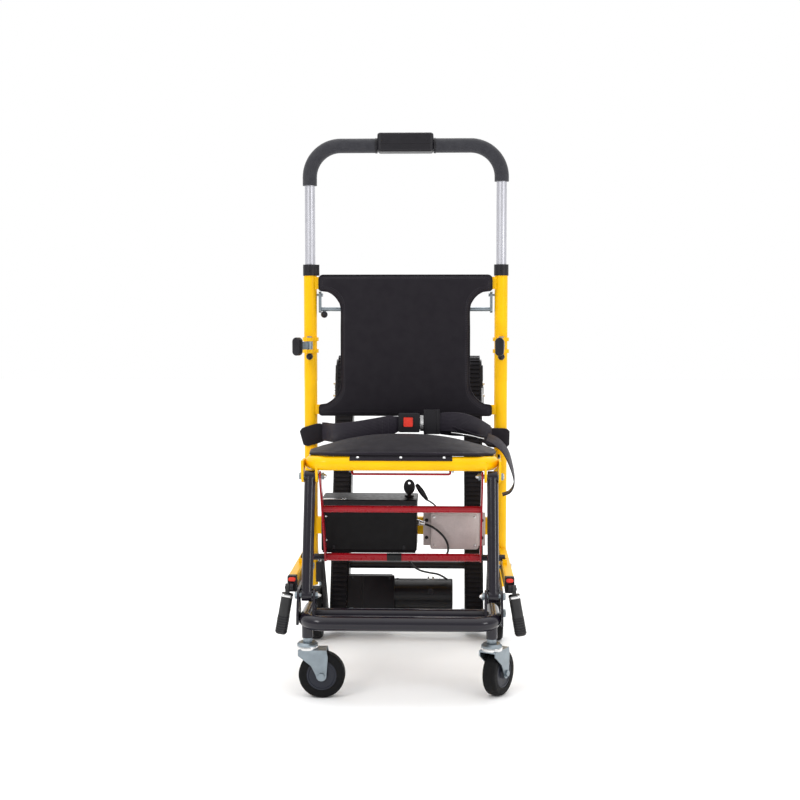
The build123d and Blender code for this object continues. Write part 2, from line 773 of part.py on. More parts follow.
# ---------------------------------------------------------------- front casters
for name, side in sides.items():
    turn = math.radians(caster_turn[name])
    trail = Vector(math.cos(turn), math.sin(turn), 0)
    across = Vector(-math.sin(turn), math.cos(turn), 0)
    swivel = Vector(side * caster_x, caster_y, 0)
    axle = swivel + trail * caster_trail + Vector(0, 0, caster_r)
    wheel_plane = Plane(origin=axle, x_dir=trail, z_dir=-across)
    with BuildPart() as caster_fork:
        with BuildSketch(Plane(origin=swivel + Vector(0, 0, 106), x_dir=trail, z_dir=(0, 0, 1))):
            Circle(22.5)
        extrude(amount=14)
        chamfer(caster_fork.edges().group_by(Axis.Z)[-1], 4)
        with BuildSketch(Plane(origin=swivel + Vector(0, 0, 120), x_dir=trail, z_dir=(0, 0, 1))):
            RegularPolygon(10, 6)
        extrude(amount=9.6)
        with BuildSketch(Plane(origin=swivel + Vector(0, 0, 126), x_dir=trail, z_dir=(0, 0, 1))):
            Circle(bolt / 2)
        extrude(amount=22)
        with BuildSketch(Plane(origin=swivel + Vector(0, 0, 102), x_dir=trail, z_dir=(0, 0, 1))):
            with Locations((caster_trail / 2 - 4, 0)):
                Rectangle(60, 41)
        extrude(amount=4)
        for cheek in (-1, 1):
            with BuildSketch(wheel_plane.offset(cheek * 19)):
                with BuildLine():
                    Polyline(
                        (-50, 56), (11, 56), (14, 40), (11, 0), (-11, 0), (-22, 22), (-50, 44), close=True,
                    )
                make_face()
                Circle(11)
            extrude(amount=1.5, both=True)
        with BuildSketch(wheel_plane.offset(-23)):
            Circle(4)
        extrude(amount=46)
        for cheek in (-1, 1):
            with BuildSketch(wheel_plane.offset(cheek * 20.5)):
                RegularPolygon(7.5, 6)
            extrude(amount=cheek * 4)
    write(caster_fork.part, f"caster_fork_{name}")

    with BuildPart() as caster_hub:
        with BuildSketch(wheel_plane):
            Circle(33)
        extrude(amount=13, both=True)
        for face_side in (1, -1):
            with BuildSketch(wheel_plane.offset(face_side * 13)):
                Circle(28)
                Circle(11, mode=Mode.SUBTRACT)
            extrude(amount=-face_side * 6, mode=Mode.SUBTRACT)
        with BuildSketch(wheel_plane):
            Circle(9)
        extrude(amount=17, both=True)
        with BuildSketch(wheel_plane.offset(-17)):
            Circle(4 + fit)
        extrude(amount=34, mode=Mode.SUBTRACT)
    write(caster_hub.part, f"caster_hub_{name}")

    with BuildPart() as caster_tyre:
        with BuildSketch(wheel_plane):
            Circle(caster_r)
            Circle(33.02, mode=Mode.SUBTRACT)
        extrude(amount=15, both=True)
        rims = caster_tyre.edges().filter_by(GeomType.CIRCLE).filter_by(lambda e: e.radius > 40)
        fillet(rims, 7)
    write(caster_tyre.part, f"caster_tyre_{name}")

# ---------------------------------------------------------------- folding carry grips
splay = 10.0              # degrees outward while hanging
for name, side in sides.items():
    tilt = math.radians(splay)
    down = Vector(side * math.sin(tilt), 0, -math.cos(tilt))
    grip_top = Vector(side * 249, grip_pin[0], grip_pin[1] - 13)
    with BuildPart() as carry_grip:
        with BuildSketch(side_plane(side * 249.5)):
            with Locations(grip_pin):
                Circle(9)
            with Locations((grip_pin[0], grip_pin[1] - 9)):
                Rectangle(14, 18)
            with Locations(grip_pin):
                Circle(3 + fit, mode=Mode.SUBTRACT)
        extrude(amount=4, both=True)
        with BuildSketch(Plane(origin=grip_top, x_dir=(0, 1, 0), z_dir=down)):
            RectangleRounded(21, 25, 8)
        extrude(amount=92)
        fillet(carry_grip.faces().sort_by(Axis.Z)[0].edges(), 6)
    write(carry_grip.part, f"carry_grip_{name}")

    with BuildPart() as carry_button:
        with BuildSketch(front_plane(arm_front - cap_length + 5)):
            with Locations((side * arm_x, button_z)):
                SlotOverall(16, 9)
        extrude(amount=8.5)
        fillet(carry_button.faces().sort_by(Axis.Y)[0].edges(), 1.5)
    write(carry_button.part, f"carry_button_{name}")

# ---------------------------------------------------------------- battery, key, controller
battery_x = (-192.0, 32.0)
battery_y = (upright_y - 190.0, upright_y - 72.0)
battery_z = (270.0, 378.0, 391.0)
battery_cx = sum(battery_x) / 2
battery_cy = sum(battery_y) / 2
key_x = 13.0
with BuildPart() as battery_box:
    with Locations((battery_cx, battery_cy, (battery_z[0] + battery_z[1]) / 2)):
        Box(battery_x[1] - battery_x[0], battery_y[1] - battery_y[0], battery_z[1] - battery_z[0])
    fillet(battery_box.edges().filter_by(Axis.Z), 5)
    fillet(battery_box.edges().group_by(Axis.Z)[0], 4)
write(battery_box.part, "battery_box")

with BuildPart() as battery_lid:
    with Locations((battery_cx, battery_cy, (battery_z[1] + battery_z[2]) / 2 + 0.1)):
        Box(battery_x[1] - battery_x[0] + 2, battery_y[1] - battery_y[0] + 2, battery_z[2] - battery_z[1])
    fillet(battery_lid.edges().filter_by(Axis.Z), 6)
    fillet(battery_lid.edges().group_by(Axis.Z)[-1], 3)
    # key switch: a collar with the key's slot bored through the lid
    with BuildSketch(Plane.XY.offset(battery_z[2])):
        with Locations((key_x, battery_cy)):
            Circle(11)
    extrude(amount=4)
    with BuildSketch(Plane.XY.offset(battery_z[2] - 8)):
        with Locations((key_x, battery_cy)):
            Circle(5 + fit)
    extrude(amount=20, mode=Mode.SUBTRACT)
write(battery_lid.part, "battery_lid")

with BuildPart() as key:
    with BuildSketch(Plane.XY.offset(battery_z[2] - 7)):
        with Locations((key_x, battery_cy)):
            Circle(5)
    extrude(amount=13)
    with BuildSketch(front_plane(battery_cy + 2)):
        with Locations((key_x, 414)):
            Ellipse(13.5, 18)
            Rectangle(8, 24)
        with Locations((key_x, 423)):
            Circle(3, mode=Mode.SUBTRACT)
    extrude(amount=4)
write(key.part, "key")

controller_y = (upright_y - 150.0, upright_y - 112.0)
with BuildPart() as controller_box:
    with Locations((120, sum(controller_y) / 2, 311)):
        Box(114, controller_y[1] - controller_y[0], 86)
    fillet(controller_box.edges().filter_by(Axis.Y), 6)
    fillet(controller_box.faces().sort_by(Axis.Y)[0].edges(), 2)
    with Locations((120, controller_y[1] - 2, 311)):
        Box(148, 4, 80)
    with BuildSketch(front_plane(controller_y[1])):
        with Locations((120, 311)):
            with GridLocations(132, 42, 2, 2):
                Circle(2.6)
    extrude(amount=4, mode=Mode.SUBTRACT)
write(controller_box.part, "controller_box")

with BuildPart() as component_bracket:
    # battery tray under the box, with an upstand welded to the cross member
    with Locations((battery_cx, (battery_y[0] + upright_y - 10) / 2, 267.8)):
        Box(battery_x[1] - battery_x[0] - 6, upright_y - 10 - battery_y[0] - 4, 3.6)
    with Locations((battery_cx, upright_y - 11.6, 293)):
        Box(battery_x[1] - battery_x[0] - 6, 3, 54)
    # plate behind the controller on two arms
    with Locations((120, controller_y[1] + 2.1, 311)):
        Box(140, 4, 60)
    arm_ends = (controller_y[1] + 2.1, upright_y - 10.1)
    for x_arm in (70, 170):
        with Locations((x_arm, sum(arm_ends) / 2, 300)):
            Box(20, arm_ends[1] - arm_ends[0], 20)
write(component_bracket.part, "component_bracket")

# ---------------------------------------------------------------- track unit
plate_half = 30.0
shaft_r = 8.0
with BuildPart() as track_side_plates:
    for side in sides.values():
        for x_plate in (151.0, 195.0):
            with BuildSketch(track_plane(side * x_plate)):
                with Locations((track_length / 2, 0)):
                    SlotCenterToCenter(track_length, 2 * plate_half)
                with Locations((0, 0)):
                    Circle(shaft_r + fit, mode=Mode.SUBTRACT)
                with Locations((track_length, 0)):
                    Circle(6.02, mode=Mode.SUBTRACT)
            extrude(amount=2, both=True)
        # sleeve that turns in the axle bracket
        with BuildSketch(track_plane(side * 197)):
            Circle(12)
            Circle(shaft_r + fit, mode=Mode.SUBTRACT)
        extrude(amount=-side * 12.5)
write(track_side_plates.part, "track_side_plates")

belt_core_r = belt_r - 3.0
belt_inside_r = belt_core_r - 5.0
ribs_per_run = int(track_length // belt_pitch)
ribs_per_turn = 10
for name, side in sides.items():
    belt_mid = side * (belt_inner_x + belt_outer_x) / 2
    with BuildPart() as track_belt:
        with BuildSketch(track_plane(belt_mid)):
            with Locations((track_length / 2, 0)):
                SlotCenterToCenter(track_length, 2 * belt_core_r)
            for run_side in (-1, 1):
                with Locations((track_length / 2, run_side * (belt_core_r + 1))):
                    with GridLocations(belt_pitch, 0, ribs_per_run, 1):
                        Rectangle(6, 4)
            for centre_along, start in ((0, 90), (track_length, -90)):
                with Locations((centre_along, 0)):
                    with PolarLocations(belt_core_r + 1, ribs_per_turn, start + 9, 162):
                        Rectangle(4, 6)
            with Locations((track_length / 2, 0)):
                SlotCenterToCenter(track_length, 2 * belt_inside_r, mode=Mode.SUBTRACT)
        extrude(amount=(belt_outer_x - belt_inner_x) / 2, both=True)
    write(track_belt.part, f"track_belt_{name}")

with BuildPart() as track_cross_tubes:
    # tubes that join the two track modules
    for along in (126.0, 570.0):
        with BuildSketch(track_plane(149)):
            with Locations((along, 0)):
                Circle(10)
        extrude(amount=298)
    for side in sides.values():
        # spacers between the two plates of a module
        for along in (90.0, 240.0, 400.0, 540.0):
            with BuildSketch(track_plane(side * 173)):
                with Locations((along, 0)):
                    Circle(9)
            extrude(amount=20, both=True)
        # idler shaft and its tensioner block on the outer plate
        with BuildSketch(track_plane(side * 173)):
            with Locations((track_length, 0)):
                Circle(6)
        extrude(amount=26, both=True)
        with BuildSketch(track_plane(side * 199)):
            with Locations((track_length - 18, 0)):
                Rectangle(60, 14)
        extrude(amount=1.9, both=True)
write(track_cross_tubes.part, "track_cross_tubes")

with BuildPart() as drive_shaft:
    with BuildSketch(track_plane(210)):
        Circle(shaft_r)
    extrude(amount=420)
    for side in sides.values():
        with BuildSketch(track_plane(side * 173)):
            Circle(belt_inside_r - 0.3)
            with PolarLocations(belt_inside_r, 12):
                Circle(3.5, mode=Mode.SUBTRACT)
        extrude(amount=18, both=True)
write(drive_shaft.part, "drive_shaft")

with BuildPart() as idler_wheels:
    for side in sides.values():
        with BuildSketch(track_plane(side * 173)):
            with Locations((track_length, 0)):
                Circle(belt_inside_r - 0.3)
                Circle(6 + fit, mode=Mode.SUBTRACT)
        extrude(amount=18, both=True)
write(idler_wheels.part, "idler_wheels")

motor_along = 50.0
motor_r = 40.0
with BuildPart() as gearbox:
    with BuildSketch(track_plane(-148.6)) as gear_outline:
        with Locations((42, 0)):
            Rectangle(108, 76)
        chamfer(gear_outline.vertices(), 6)
    extrude(amount=-112)
    with BuildSketch(track_plane(-36.6)):
        with Locations((42, 0)):
            Rectangle(100, 79)
    extrude(amount=-5)
    with BuildSketch(track_plane(-148.6)):
        Circle(shaft_r + fit)
    extrude(amount=-120, mode=Mode.SUBTRACT)
write(gearbox.part, "gearbox")

with BuildPart() as motor:
    with BuildSketch(track_plane(-31.4)):
        with Locations((motor_along, 0)):
            Circle(motor_r)
    extrude(amount=-150)
    fillet(motor.edges().sort_by(Axis.X)[-1], 3)
    brush = Vector(62, *on_track(motor_along, motor_r - 2))
    with BuildSketch(Plane(origin=brush, x_dir=(1, 0, 0), z_dir=(0, -track_up[1], track_up[0]))):
        Circle(8)
    extrude(amount=4)
write(motor.part, "motor")


# ---------------------------------------------------------------- cables
def turn_radii(points):
    """For each inner corner of a route: 0.45 of the shorter run over the tangent of half the turn."""
    radii = []
    for before, corner, after in zip(points, points[1:], points[2:]):
        run_in = Vector(*corner) - Vector(*before)
        run_out = Vector(*after) - Vector(*corner)
        turn = math.radians(run_in.get_angle(run_out))
        radii.append(0.45 * min(run_in.length, run_out.length) / math.tan(turn / 2))
    return radii


def cable(points, diameter):
    """A round cable along straight runs joined by tangent arcs."""
    radii = turn_radii(points)
    print("cable radii", [round(radius) for radius in radii], "diameter", diameter)
    with BuildPart() as run:
        with BuildLine() as path:
            FilletPolyline(*points, radius=radii)
        with BuildSketch(path.line ^ 0):
            Circle(diameter / 2)
        sweep()
    expected = math.pi * diameter**2 / 4 * path.wire().length
    print("cable length", round(path.wire().length), "volume ratio", round(run.part.volume / expected, 4))
    return run.part


controller_route = [
    (33, upright_y - 160, 334),
    (58, upright_y - 168, 331),
    (84, upright_y - 172, 315),
    (103, upright_y - 170, 292),
    (107, upright_y - 162, 266),
    (97, upright_y - 138, 247),
    (74, upright_y - 98, 236),
    (42, upright_y - 46, 229),
    (14, upright_y + 8, 224),
    (0, upright_y + 56, 214),
]
brake_route = [
    (-221, upright_y + 13.3, lug_rows[0][0] - 0.1),
    (-221, upright_y + 13.3, 236),
    (-219, upright_y + 21, 212),
    (-214.8, upright_y + 36, 196),
    (-214.8, upright_y + 42, 186),
]
charge_route = [
    (78, upright_y - 131, 354.2),
    (78, upright_y - 132, 366),
    (69, upright_y - 136, 376),
    (56, upright_y - 140, 384),
]
motor_route = [
    (1, upright_y + 58.5, 211),
    (9, upright_y + 82, 188),
    (30, upright_y + 93, 168),
    (58, upright_y + 95, 161),
    (86, upright_y + 97, 157),
    (104, upright_y + 104, 142.5),
]
root_cables = [
    cable(controller_route, 5),
    cable(brake_route, 4),
    cable(charge_route, 4),
]
plug_low = Vector(*charge_route[-1])
plug_high = Vector(30, upright_y - 148, 423)
plug_plane = Plane(origin=plug_low, x_dir=(0, 1, 0), z_dir=plug_high - plug_low)
with BuildPart() as cables:
    add(root_cables)
    # plug boot on the charging lead
    with BuildSketch(plug_plane):
        Circle(3.5)
    with BuildSketch(plug_plane.offset(14)):
        Circle(6)
    loft()
    with BuildSketch(plug_plane.offset(14)):
        Circle(6)
    extrude(amount=(plug_high - plug_low).length - 14)
    # brake pin over the left rear wheel
    with BuildSketch(Plane.XY.offset(138)):
        with Locations((-214.8, upright_y + 42)):
            Circle(5)
    extrude(amount=48)
write(cables.part, "cables")
motor_lead = cable(motor_route, 5)
write(motor_lead, "motor_lead")
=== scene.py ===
import json
import math

import bmesh
import bpy
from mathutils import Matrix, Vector
from mathutils.bvhtree import BVHTree


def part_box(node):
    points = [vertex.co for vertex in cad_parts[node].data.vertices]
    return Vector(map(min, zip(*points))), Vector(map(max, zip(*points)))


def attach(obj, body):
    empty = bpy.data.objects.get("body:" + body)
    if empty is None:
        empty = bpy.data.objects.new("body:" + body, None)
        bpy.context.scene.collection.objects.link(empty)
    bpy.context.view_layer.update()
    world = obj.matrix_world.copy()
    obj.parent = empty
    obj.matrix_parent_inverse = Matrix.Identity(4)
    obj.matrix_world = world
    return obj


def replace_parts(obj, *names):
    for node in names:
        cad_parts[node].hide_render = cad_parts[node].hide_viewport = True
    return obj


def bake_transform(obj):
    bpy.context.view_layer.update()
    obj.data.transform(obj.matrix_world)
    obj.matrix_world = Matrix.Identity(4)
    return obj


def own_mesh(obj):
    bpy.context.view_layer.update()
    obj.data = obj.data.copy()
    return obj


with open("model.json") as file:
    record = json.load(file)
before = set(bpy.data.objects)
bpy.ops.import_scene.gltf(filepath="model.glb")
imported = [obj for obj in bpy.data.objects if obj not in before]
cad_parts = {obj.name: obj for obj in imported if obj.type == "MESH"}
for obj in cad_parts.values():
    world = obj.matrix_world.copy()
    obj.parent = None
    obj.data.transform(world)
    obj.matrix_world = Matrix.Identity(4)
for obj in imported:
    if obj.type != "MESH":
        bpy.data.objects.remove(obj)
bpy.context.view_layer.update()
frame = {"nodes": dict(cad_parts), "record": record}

scene = bpy.context.scene
sides = {"left": -1, "right": 1}
joints = {joint["name"]: joint for joint in frame["record"]["behaviour"]["joints"]}
slots = {row["node"]: row["material_slot"] for row in frame["record"]["subparts"]}


def add_object(name, data):
    """A new object in the scene."""
    added = bpy.data.objects.new(name, data)
    scene.collection.objects.link(added)
    return added


def pivot_of(joint):
    """Where a joint's axis passes, at rest."""
    return Vector(joints[joint]["pos_m"])


def middle_of(node):
    """The centre of a CAD node's box."""
    low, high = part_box(node)
    return (low + high) / 2


# ---- camera, light, floor
def make_camera():
    """The camera stands about 3.1 m in front of the chair, a little towards +X, with its lens at 0.83 m."""
    camera = bpy.data.cameras.new("camera")
    camera.lens = 57.6
    camera.sensor_width = 36.0
    viewer = add_object("camera", camera)
    viewer.location = (0.092, -3.101, 0.833)
    viewer.rotation_euler = (math.radians(90 - 4.02), 0, math.radians(1.92))
    scene.camera = viewer


def make_softbox(name, place, target, size, watts):
    """A square area light that faces its target."""
    light = bpy.data.lights.new(name, "AREA")
    light.energy = watts
    light.size = size
    lamp = add_object(name, light)
    lamp.location = place
    lamp.rotation_euler = (Vector(target) - Vector(place)).to_track_quat("-Z", "Y").to_euler()


def set_inputs(node, values):
    """Sets a node's unlinked inputs, by name."""
    for name, value in values.items():
        node.inputs[name].default_value = value


def gradient(tree, source, low, high, low_value, high_value):
    """Maps source from low..high to low_value..high_value, and no further."""
    node = tree.nodes.new("ShaderNodeMapRange")
    set_inputs(node, {"From Min": low, "From Max": high, "To Min": low_value, "To Max": high_value})
    tree.links.new(source, node.inputs["Value"])
    return node.outputs["Result"]


def make_studio():
    """White behind the chair and overhead, greyer in front, with a pale floor and three softboxes."""
    world = bpy.data.worlds.new("studio")
    world.use_nodes = True
    tree = world.node_tree
    direction = tree.nodes.new("ShaderNodeTexCoord")
    split = tree.nodes.new("ShaderNodeSeparateXYZ")
    tree.links.new(direction.outputs["Generated"], split.inputs["Vector"])
    total = tree.nodes.new("ShaderNodeMath")
    total.operation = "ADD"
    tree.links.new(gradient(tree, split.outputs["Y"], -0.5, 0.5, 0.6, 1.0), total.inputs[0])
    tree.links.new(gradient(tree, split.outputs["Z"], 0.45, 0.9, 0.0, 1.0), total.inputs[1])
    background = tree.nodes["Background"]
    tree.links.new(total.outputs["Value"], background.inputs["Color"])
    scene.world = world
    scene.view_settings.view_transform = "Standard"
    middle = (0, 0, 0.6)
    make_softbox("key_softbox", (-1.9, -2.6, 2.4), middle, 0.9, 29)
    make_softbox("fill_softbox", (2.3, -2.2, 1.4), middle, 0.8, 14)
    make_softbox("rim_softbox", (0.4, 2.4, 2.4), middle, 1.6, 30)
    mesh = bpy.data.meshes.new("floor")
    half = 12.0
    corners = [(-half, -half, 0), (half, -half, 0), (half, half, 0), (-half, half, 0)]
    mesh.from_pydata(corners, [], [(0, 1, 2, 3)])
    floor = add_object("floor", mesh)
    material = bpy.data.materials.new("pale_floor")
    material.use_nodes = True
    shader = material.node_tree.nodes["Principled BSDF"]
    set_inputs(shader, {"Base Color": (0.93, 0.93, 0.93, 1), "Roughness": 0.85})
    mesh.materials.append(material)


# ---- materials
class Surface:
    """A Principled material whose textures are laid out in the row frame, in metres."""

    def __init__(self, name, roughness, metallic=0.0, coat=0.0, sheen=0.0, specular=0.5):
        self.material = bpy.data.materials.new(name)
        self.material.use_nodes = True
        self.tree = self.material.node_tree
        self.shader = self.tree.nodes["Principled BSDF"]
        set_inputs(self.shader, {
            "Roughness": roughness, "Metallic": metallic, "Coat Weight": coat, "Coat Roughness": 0.12,
            "Sheen Weight": sheen, "Sheen Roughness": 0.5, "Specular IOR Level": specular,
        })
        self.coordinates = self.tree.nodes.new("ShaderNodeTexCoord").outputs
        self.normal = None

    def link(self, source, target):
        self.tree.links.new(source, target)

    def texture(self, kind, place, values):
        """A mapping or texture node laid out by place, an output of coordinates."""
        node = self.tree.nodes.new(kind)
        set_inputs(node, values)
        self.link(place, node.inputs["Vector"])
        return node

    def noise(self, scale, detail=3.0, stretch=(1, 1, 1)):
        """The grey output of a noise texture."""
        mapping = self.texture("ShaderNodeMapping", self.coordinates["Object"], {"Scale": stretch})
        values = {"Scale": scale, "Detail": detail}
        return self.texture("ShaderNodeTexNoise", mapping.outputs["Vector"], values).outputs["Fac"]

    def cells(self, scale):
        """Distance to the nearest cell centre."""
        cells = self.texture("ShaderNodeTexVoronoi", self.coordinates["Object"], {"Scale": scale})
        return cells.outputs["Distance"]

    def threads(self, pitch, direction, coordinates="Object"):
        """Sine bands with this pitch in metres, or in UV units."""
        # a wave texture repeats every 2 pi / 20 units at scale 1
        values = {"Scale": math.pi / (10 * pitch)}
        wave = self.texture("ShaderNodeTexWave", self.coordinates[coordinates], values)
        wave.bands_direction = direction
        return wave.outputs["Fac"]

    def combine(self, operation, first, second):
        node = self.tree.nodes.new("ShaderNodeMath")
        node.operation = operation
        for socket, value in zip(node.inputs, (first, second)):
            if isinstance(value, float):
                socket.default_value = value
            else:
                self.link(value, socket)
        return node.outputs["Value"]

    def ramp(self, factor, low, high, low_value=0.0, high_value=1.0):
        return gradient(self.tree, factor, low, high, low_value, high_value)

    def mix(self, factor, first, second):
        """A colour between two, each a tuple or an output."""
        node = self.tree.nodes.new("ShaderNodeMix")
        node.data_type = "RGBA"
        self.link(factor, node.inputs["Factor"])
        for socket, value in ((node.inputs[6], first), (node.inputs[7], second)):
            if isinstance(value, tuple):
                socket.default_value = (*value, 1)
            else:
                self.link(value, socket)
        return node.outputs[2]

    def paint(self, colour):
        self.link(colour, self.shader.inputs["Base Color"])

    def paint_between(self, factor, colour, dark, light):
        """Colours the surface between two shades of one colour."""
        self.paint(self.mix(factor, shade(colour, dark), shade(colour, light)))

    def rough(self, value):
        self.link(value, self.shader.inputs["Roughness"])

    def rough_patches(self, scale, detail, low, high):
        """Roughness that drifts between two values."""
        self.rough(self.ramp(self.noise(scale, detail), 0.3, 0.7, low, high))

    def bump(self, height, depth, strength=1.0):
        """Adds a bump of this depth in metres."""
        node = self.tree.nodes.new("ShaderNodeBump")
        set_inputs(node, {"Distance": depth, "Strength": strength})
        self.link(height, node.inputs["Height"])
        if self.normal is not None:
            self.link(self.normal, node.inputs["Normal"])
        self.normal = node.outputs["Normal"]
        self.link(self.normal, self.shader.inputs["Normal"])


def shade(colour, factor):
    return tuple(min(1.0, channel * factor) for channel in colour)


def powder_coat(name, colour, roughness, coat, specular=0.5):
    """Sprayed paint: slight orange peel, soft mottling and small darker scuffs."""
    surface = Surface(name, roughness, coat=coat, specular=specular)
    clouds = surface.ramp(surface.noise(14), 0.35, 0.65)
    mottled = surface.mix(clouds, shade(colour, 0.93), shade(colour, 1.05))
    specks = surface.combine("MULTIPLY", surface.noise(38, 6), surface.noise(420, 2))
    surface.paint(surface.mix(surface.ramp(specks, 0.47, 0.53), mottled, shade(colour, 0.8)))
    surface.rough_patches(60, 5, roughness - 0.03, roughness + 0.05)
    surface.bump(surface.noise(330, 2), 0.0001, 0.1)
    return surface.material


def plated_steel(name, colour, roughness, stretch=(1, 1, 1), patches=0.12):
    """Zinc plate or drawn metal: metallic, with fine drawn lines and cloudy patches."""
    surface = Surface(name, roughness, metallic=1.0)
    clouds = surface.ramp(surface.noise(45, 5), 0.3, 0.7)
    surface.paint_between(clouds, colour, 1 - patches, 1 + patches)
    lines = surface.noise(260, 3, stretch)
    surface.rough(surface.ramp(lines, 0.25, 0.75, roughness - 0.08, roughness + 0.1))
    surface.bump(lines, 0.0001, 0.3)
    return surface.material


def moulded_plastic(name, colour, roughness, grain=900, depth=0.00015, specular=0.32):
    """Moulded plastic with a fine spark-eroded grain."""
    surface = Surface(name, roughness, specular=specular)
    surface.paint_between(surface.ramp(surface.noise(25), 0.3, 0.7), colour, 0.88, 1.12)
    surface.rough_patches(90, 4, roughness - 0.06, roughness + 0.08)
    surface.bump(surface.noise(grain, 2), depth, 0.5)
    return surface.material


def foam_rubber(name, colour):
    """Closed-cell foam: matt, with small open pores whose hollows are painted darker as shade."""
    surface = Surface(name, 0.72, sheen=0.15)
    pores = surface.cells(520)
    # painted shade: the pores' hollows, where the bump dips, are coloured darker
    surface.paint_between(surface.ramp(pores, 0.1, 0.6), colour, 0.7, 1.15)
    surface.rough_patches(70, 3, 0.62, 0.8)
    surface.bump(pores, 0.0004, 0.4)
    return surface.material


def tyre_rubber(name, colour, roughness=0.6):
    """Rubber with dusty patches and a grainy skin."""
    surface = Surface(name, roughness, specular=0.15)
    dust = surface.ramp(surface.noise(55, 6), 0.5, 0.75, 0.0, 0.5)
    surface.paint(surface.mix(dust, colour, shade(colour, 2.2)))
    surface.rough_patches(120, 4, roughness - 0.1, roughness + 0.12)
    surface.bump(surface.noise(700, 3), 0.0002, 0.6)
    return surface.material


def woven_nylon(name, colour):
    """Coated nylon: plain weave in all three planes with painted shade in the dips between the threads, a
    soft sheen and long shallow creases.
    """
    surface = Surface(name, 0.62, sheen=0.06, specular=0.22)
    pitch = 0.0016
    weave = surface.combine("MULTIPLY", surface.threads(pitch, "X"), surface.threads(pitch, "Z"))
    weave = surface.combine("ADD", weave, surface.threads(pitch, "Y"))
    tone = surface.ramp(surface.noise(9, 4), 0.3, 0.7)
    base = surface.mix(tone, shade(colour, 0.85), shade(colour, 1.15))
    # painted shade: where the weave's bump is low, between the threads, the colour is darkened
    surface.paint(surface.mix(surface.ramp(weave, 0.0, 2.0), shade(colour, 0.75), base))
    surface.rough_patches(40, 4, 0.55, 0.72)
    surface.bump(surface.noise(16, 3, (1, 1, 0.6)), 0.006, 0.25)
    surface.bump(weave, 0.00025, 0.4)
    return surface.material


def belt_webbing(name, colour):
    """Seat belt webbing: ribs along the strap, crossed by fine picks, with painted shade in the grooves and
    painted light on the ribs. UV: across 0 to 1, along in metres.
    """
    surface = Surface(name, 0.5, sheen=0.04, specular=0.22)
    ribs = surface.threads(1 / 14, "X", "UV")
    picks = surface.threads(0.0018, "Y", "UV")
    weave = surface.combine("ADD", ribs, surface.combine("MULTIPLY", picks, 0.5))
    # painted shade and light: darker in the weave's grooves, lighter on its raised ribs
    surface.paint_between(surface.ramp(weave, 0.0, 1.5), colour, 0.55, 1.25)
    surface.rough_patches(60, 4, 0.42, 0.58)
    surface.bump(weave, 0.0005, 0.5)
    return surface.material


def make_finishes():
    """One material for each of the record's slots, and a few more for the added pieces."""
    return {
        "yellow_paint": powder_coat("yellow_powder_coat", (0.93, 0.51, 0.001), 0.34, 0.08, 0.15),
        "red_paint": powder_coat("red_powder_coat", (0.33, 0.003, 0.011), 0.28, 0.15, 0.35),
        "gunmetal_paint": powder_coat("gunmetal_powder_coat", (0.008, 0.0065, 0.012), 0.22, 0.15, 0.35),
        "black_paint": powder_coat("black_powder_coat", (0.007, 0.006, 0.008), 0.4, 0.05, 0.3),
        "bright_steel": plated_steel("zinc_plate", (0.25, 0.29, 0.32), 0.36),
        "handle_aluminium": plated_steel("anodised_tube", (0.56, 0.56, 0.6), 0.42, (1, 1, 0.02), 0.04),
        "controller_aluminium": plated_steel("cast_aluminium", (0.55, 0.48, 0.47), 0.55, patches=0.06),
        "foam": foam_rubber("closed_cell_foam", (0.015, 0.015, 0.021)),
        "black_plastic": moulded_plastic("black_moulding", (0.008, 0.007, 0.01), 0.42),
        "battery_shell": moulded_plastic("battery_shell", (0.003, 0.0022, 0.003), 0.36, specular=0.16),
        "hub_plastic": moulded_plastic("hub_moulding", (0.013, 0.015, 0.024), 0.4),
        "grip_rubber": moulded_plastic("grip_rubber", (0.03, 0.03, 0.031), 0.55),
        "red_plastic": moulded_plastic("red_moulding", (0.85, 0.045, 0.025), 0.3, 500, 0.00005),
        "black_fabric": woven_nylon("coated_nylon", (0.0082, 0.0056, 0.0105)),
        "webbing": belt_webbing("woven_webbing", (0.018, 0.014, 0.023)),
        "caster_tyre": tyre_rubber("caster_rubber", (0.0035, 0.0035, 0.004)),
        "track_rubber": tyre_rubber("track_belt_rubber", (0.008, 0.007, 0.009), 0.45),
        "cable_jacket": moulded_plastic("cable_sheath", (0.009, 0.009, 0.01), 0.35, 400),
        "motor_casing": powder_coat("motor_enamel", (0.0035, 0.0025, 0.004), 0.33, 0.1, 0.25),
        "nylon": moulded_plastic("natural_nylon", (0.45, 0.45, 0.43), 0.45),
        "thread": moulded_plastic("sewing_thread", (0.04, 0.037, 0.045), 0.7, 1500),
        "screw_steel": plated_steel("screw_steel", (0.72, 0.72, 0.72), 0.22),
        "label": moulded_plastic("blank_label", (0.01, 0.01, 0.011), 0.3),
    }


# ---- building helpers
def mount(piece, body, look):
    """Dresses a piece in a finish and lets it ride on a CAD body. Its slot is the finish's."""
    piece.data.materials.append(finish[look])
    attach(piece, body)
    return piece


def new_mesh(name, points, faces):
    """A mesh of these points and faces, with its normals turned outwards."""
    mesh = bpy.data.meshes.new(name)
    mesh.from_pydata([tuple(point) for point in points], [], faces)
    mesh.validate()
    bm = bmesh.new()
    bm.from_mesh(mesh)
    bmesh.ops.recalc_face_normals(bm, faces=bm.faces)
    bm.to_mesh(mesh)
    bm.free()
    return add_object(name, mesh)


def from_bmesh(name, bm):
    """A new object made of a finished bmesh."""
    mesh = bpy.data.meshes.new(name)
    bm.to_mesh(mesh)
    bm.free()
    return add_object(name, mesh)


def ring_faces(rows, count, first=0):
    """The faces of a tube of rings, each of count points, from point number first, with both ends closed."""
    faces = []
    for row in range(rows - 1):
        for k in range(count):
            a, b = first + row * count + k, first + row * count + (k + 1) % count
            faces.append((a, b, b + count, a + count))
    last = first + (rows - 1) * count
    faces.append(tuple(range(first, first + count))[::-1])
    faces.append(tuple(range(last, last + count)))
    return faces


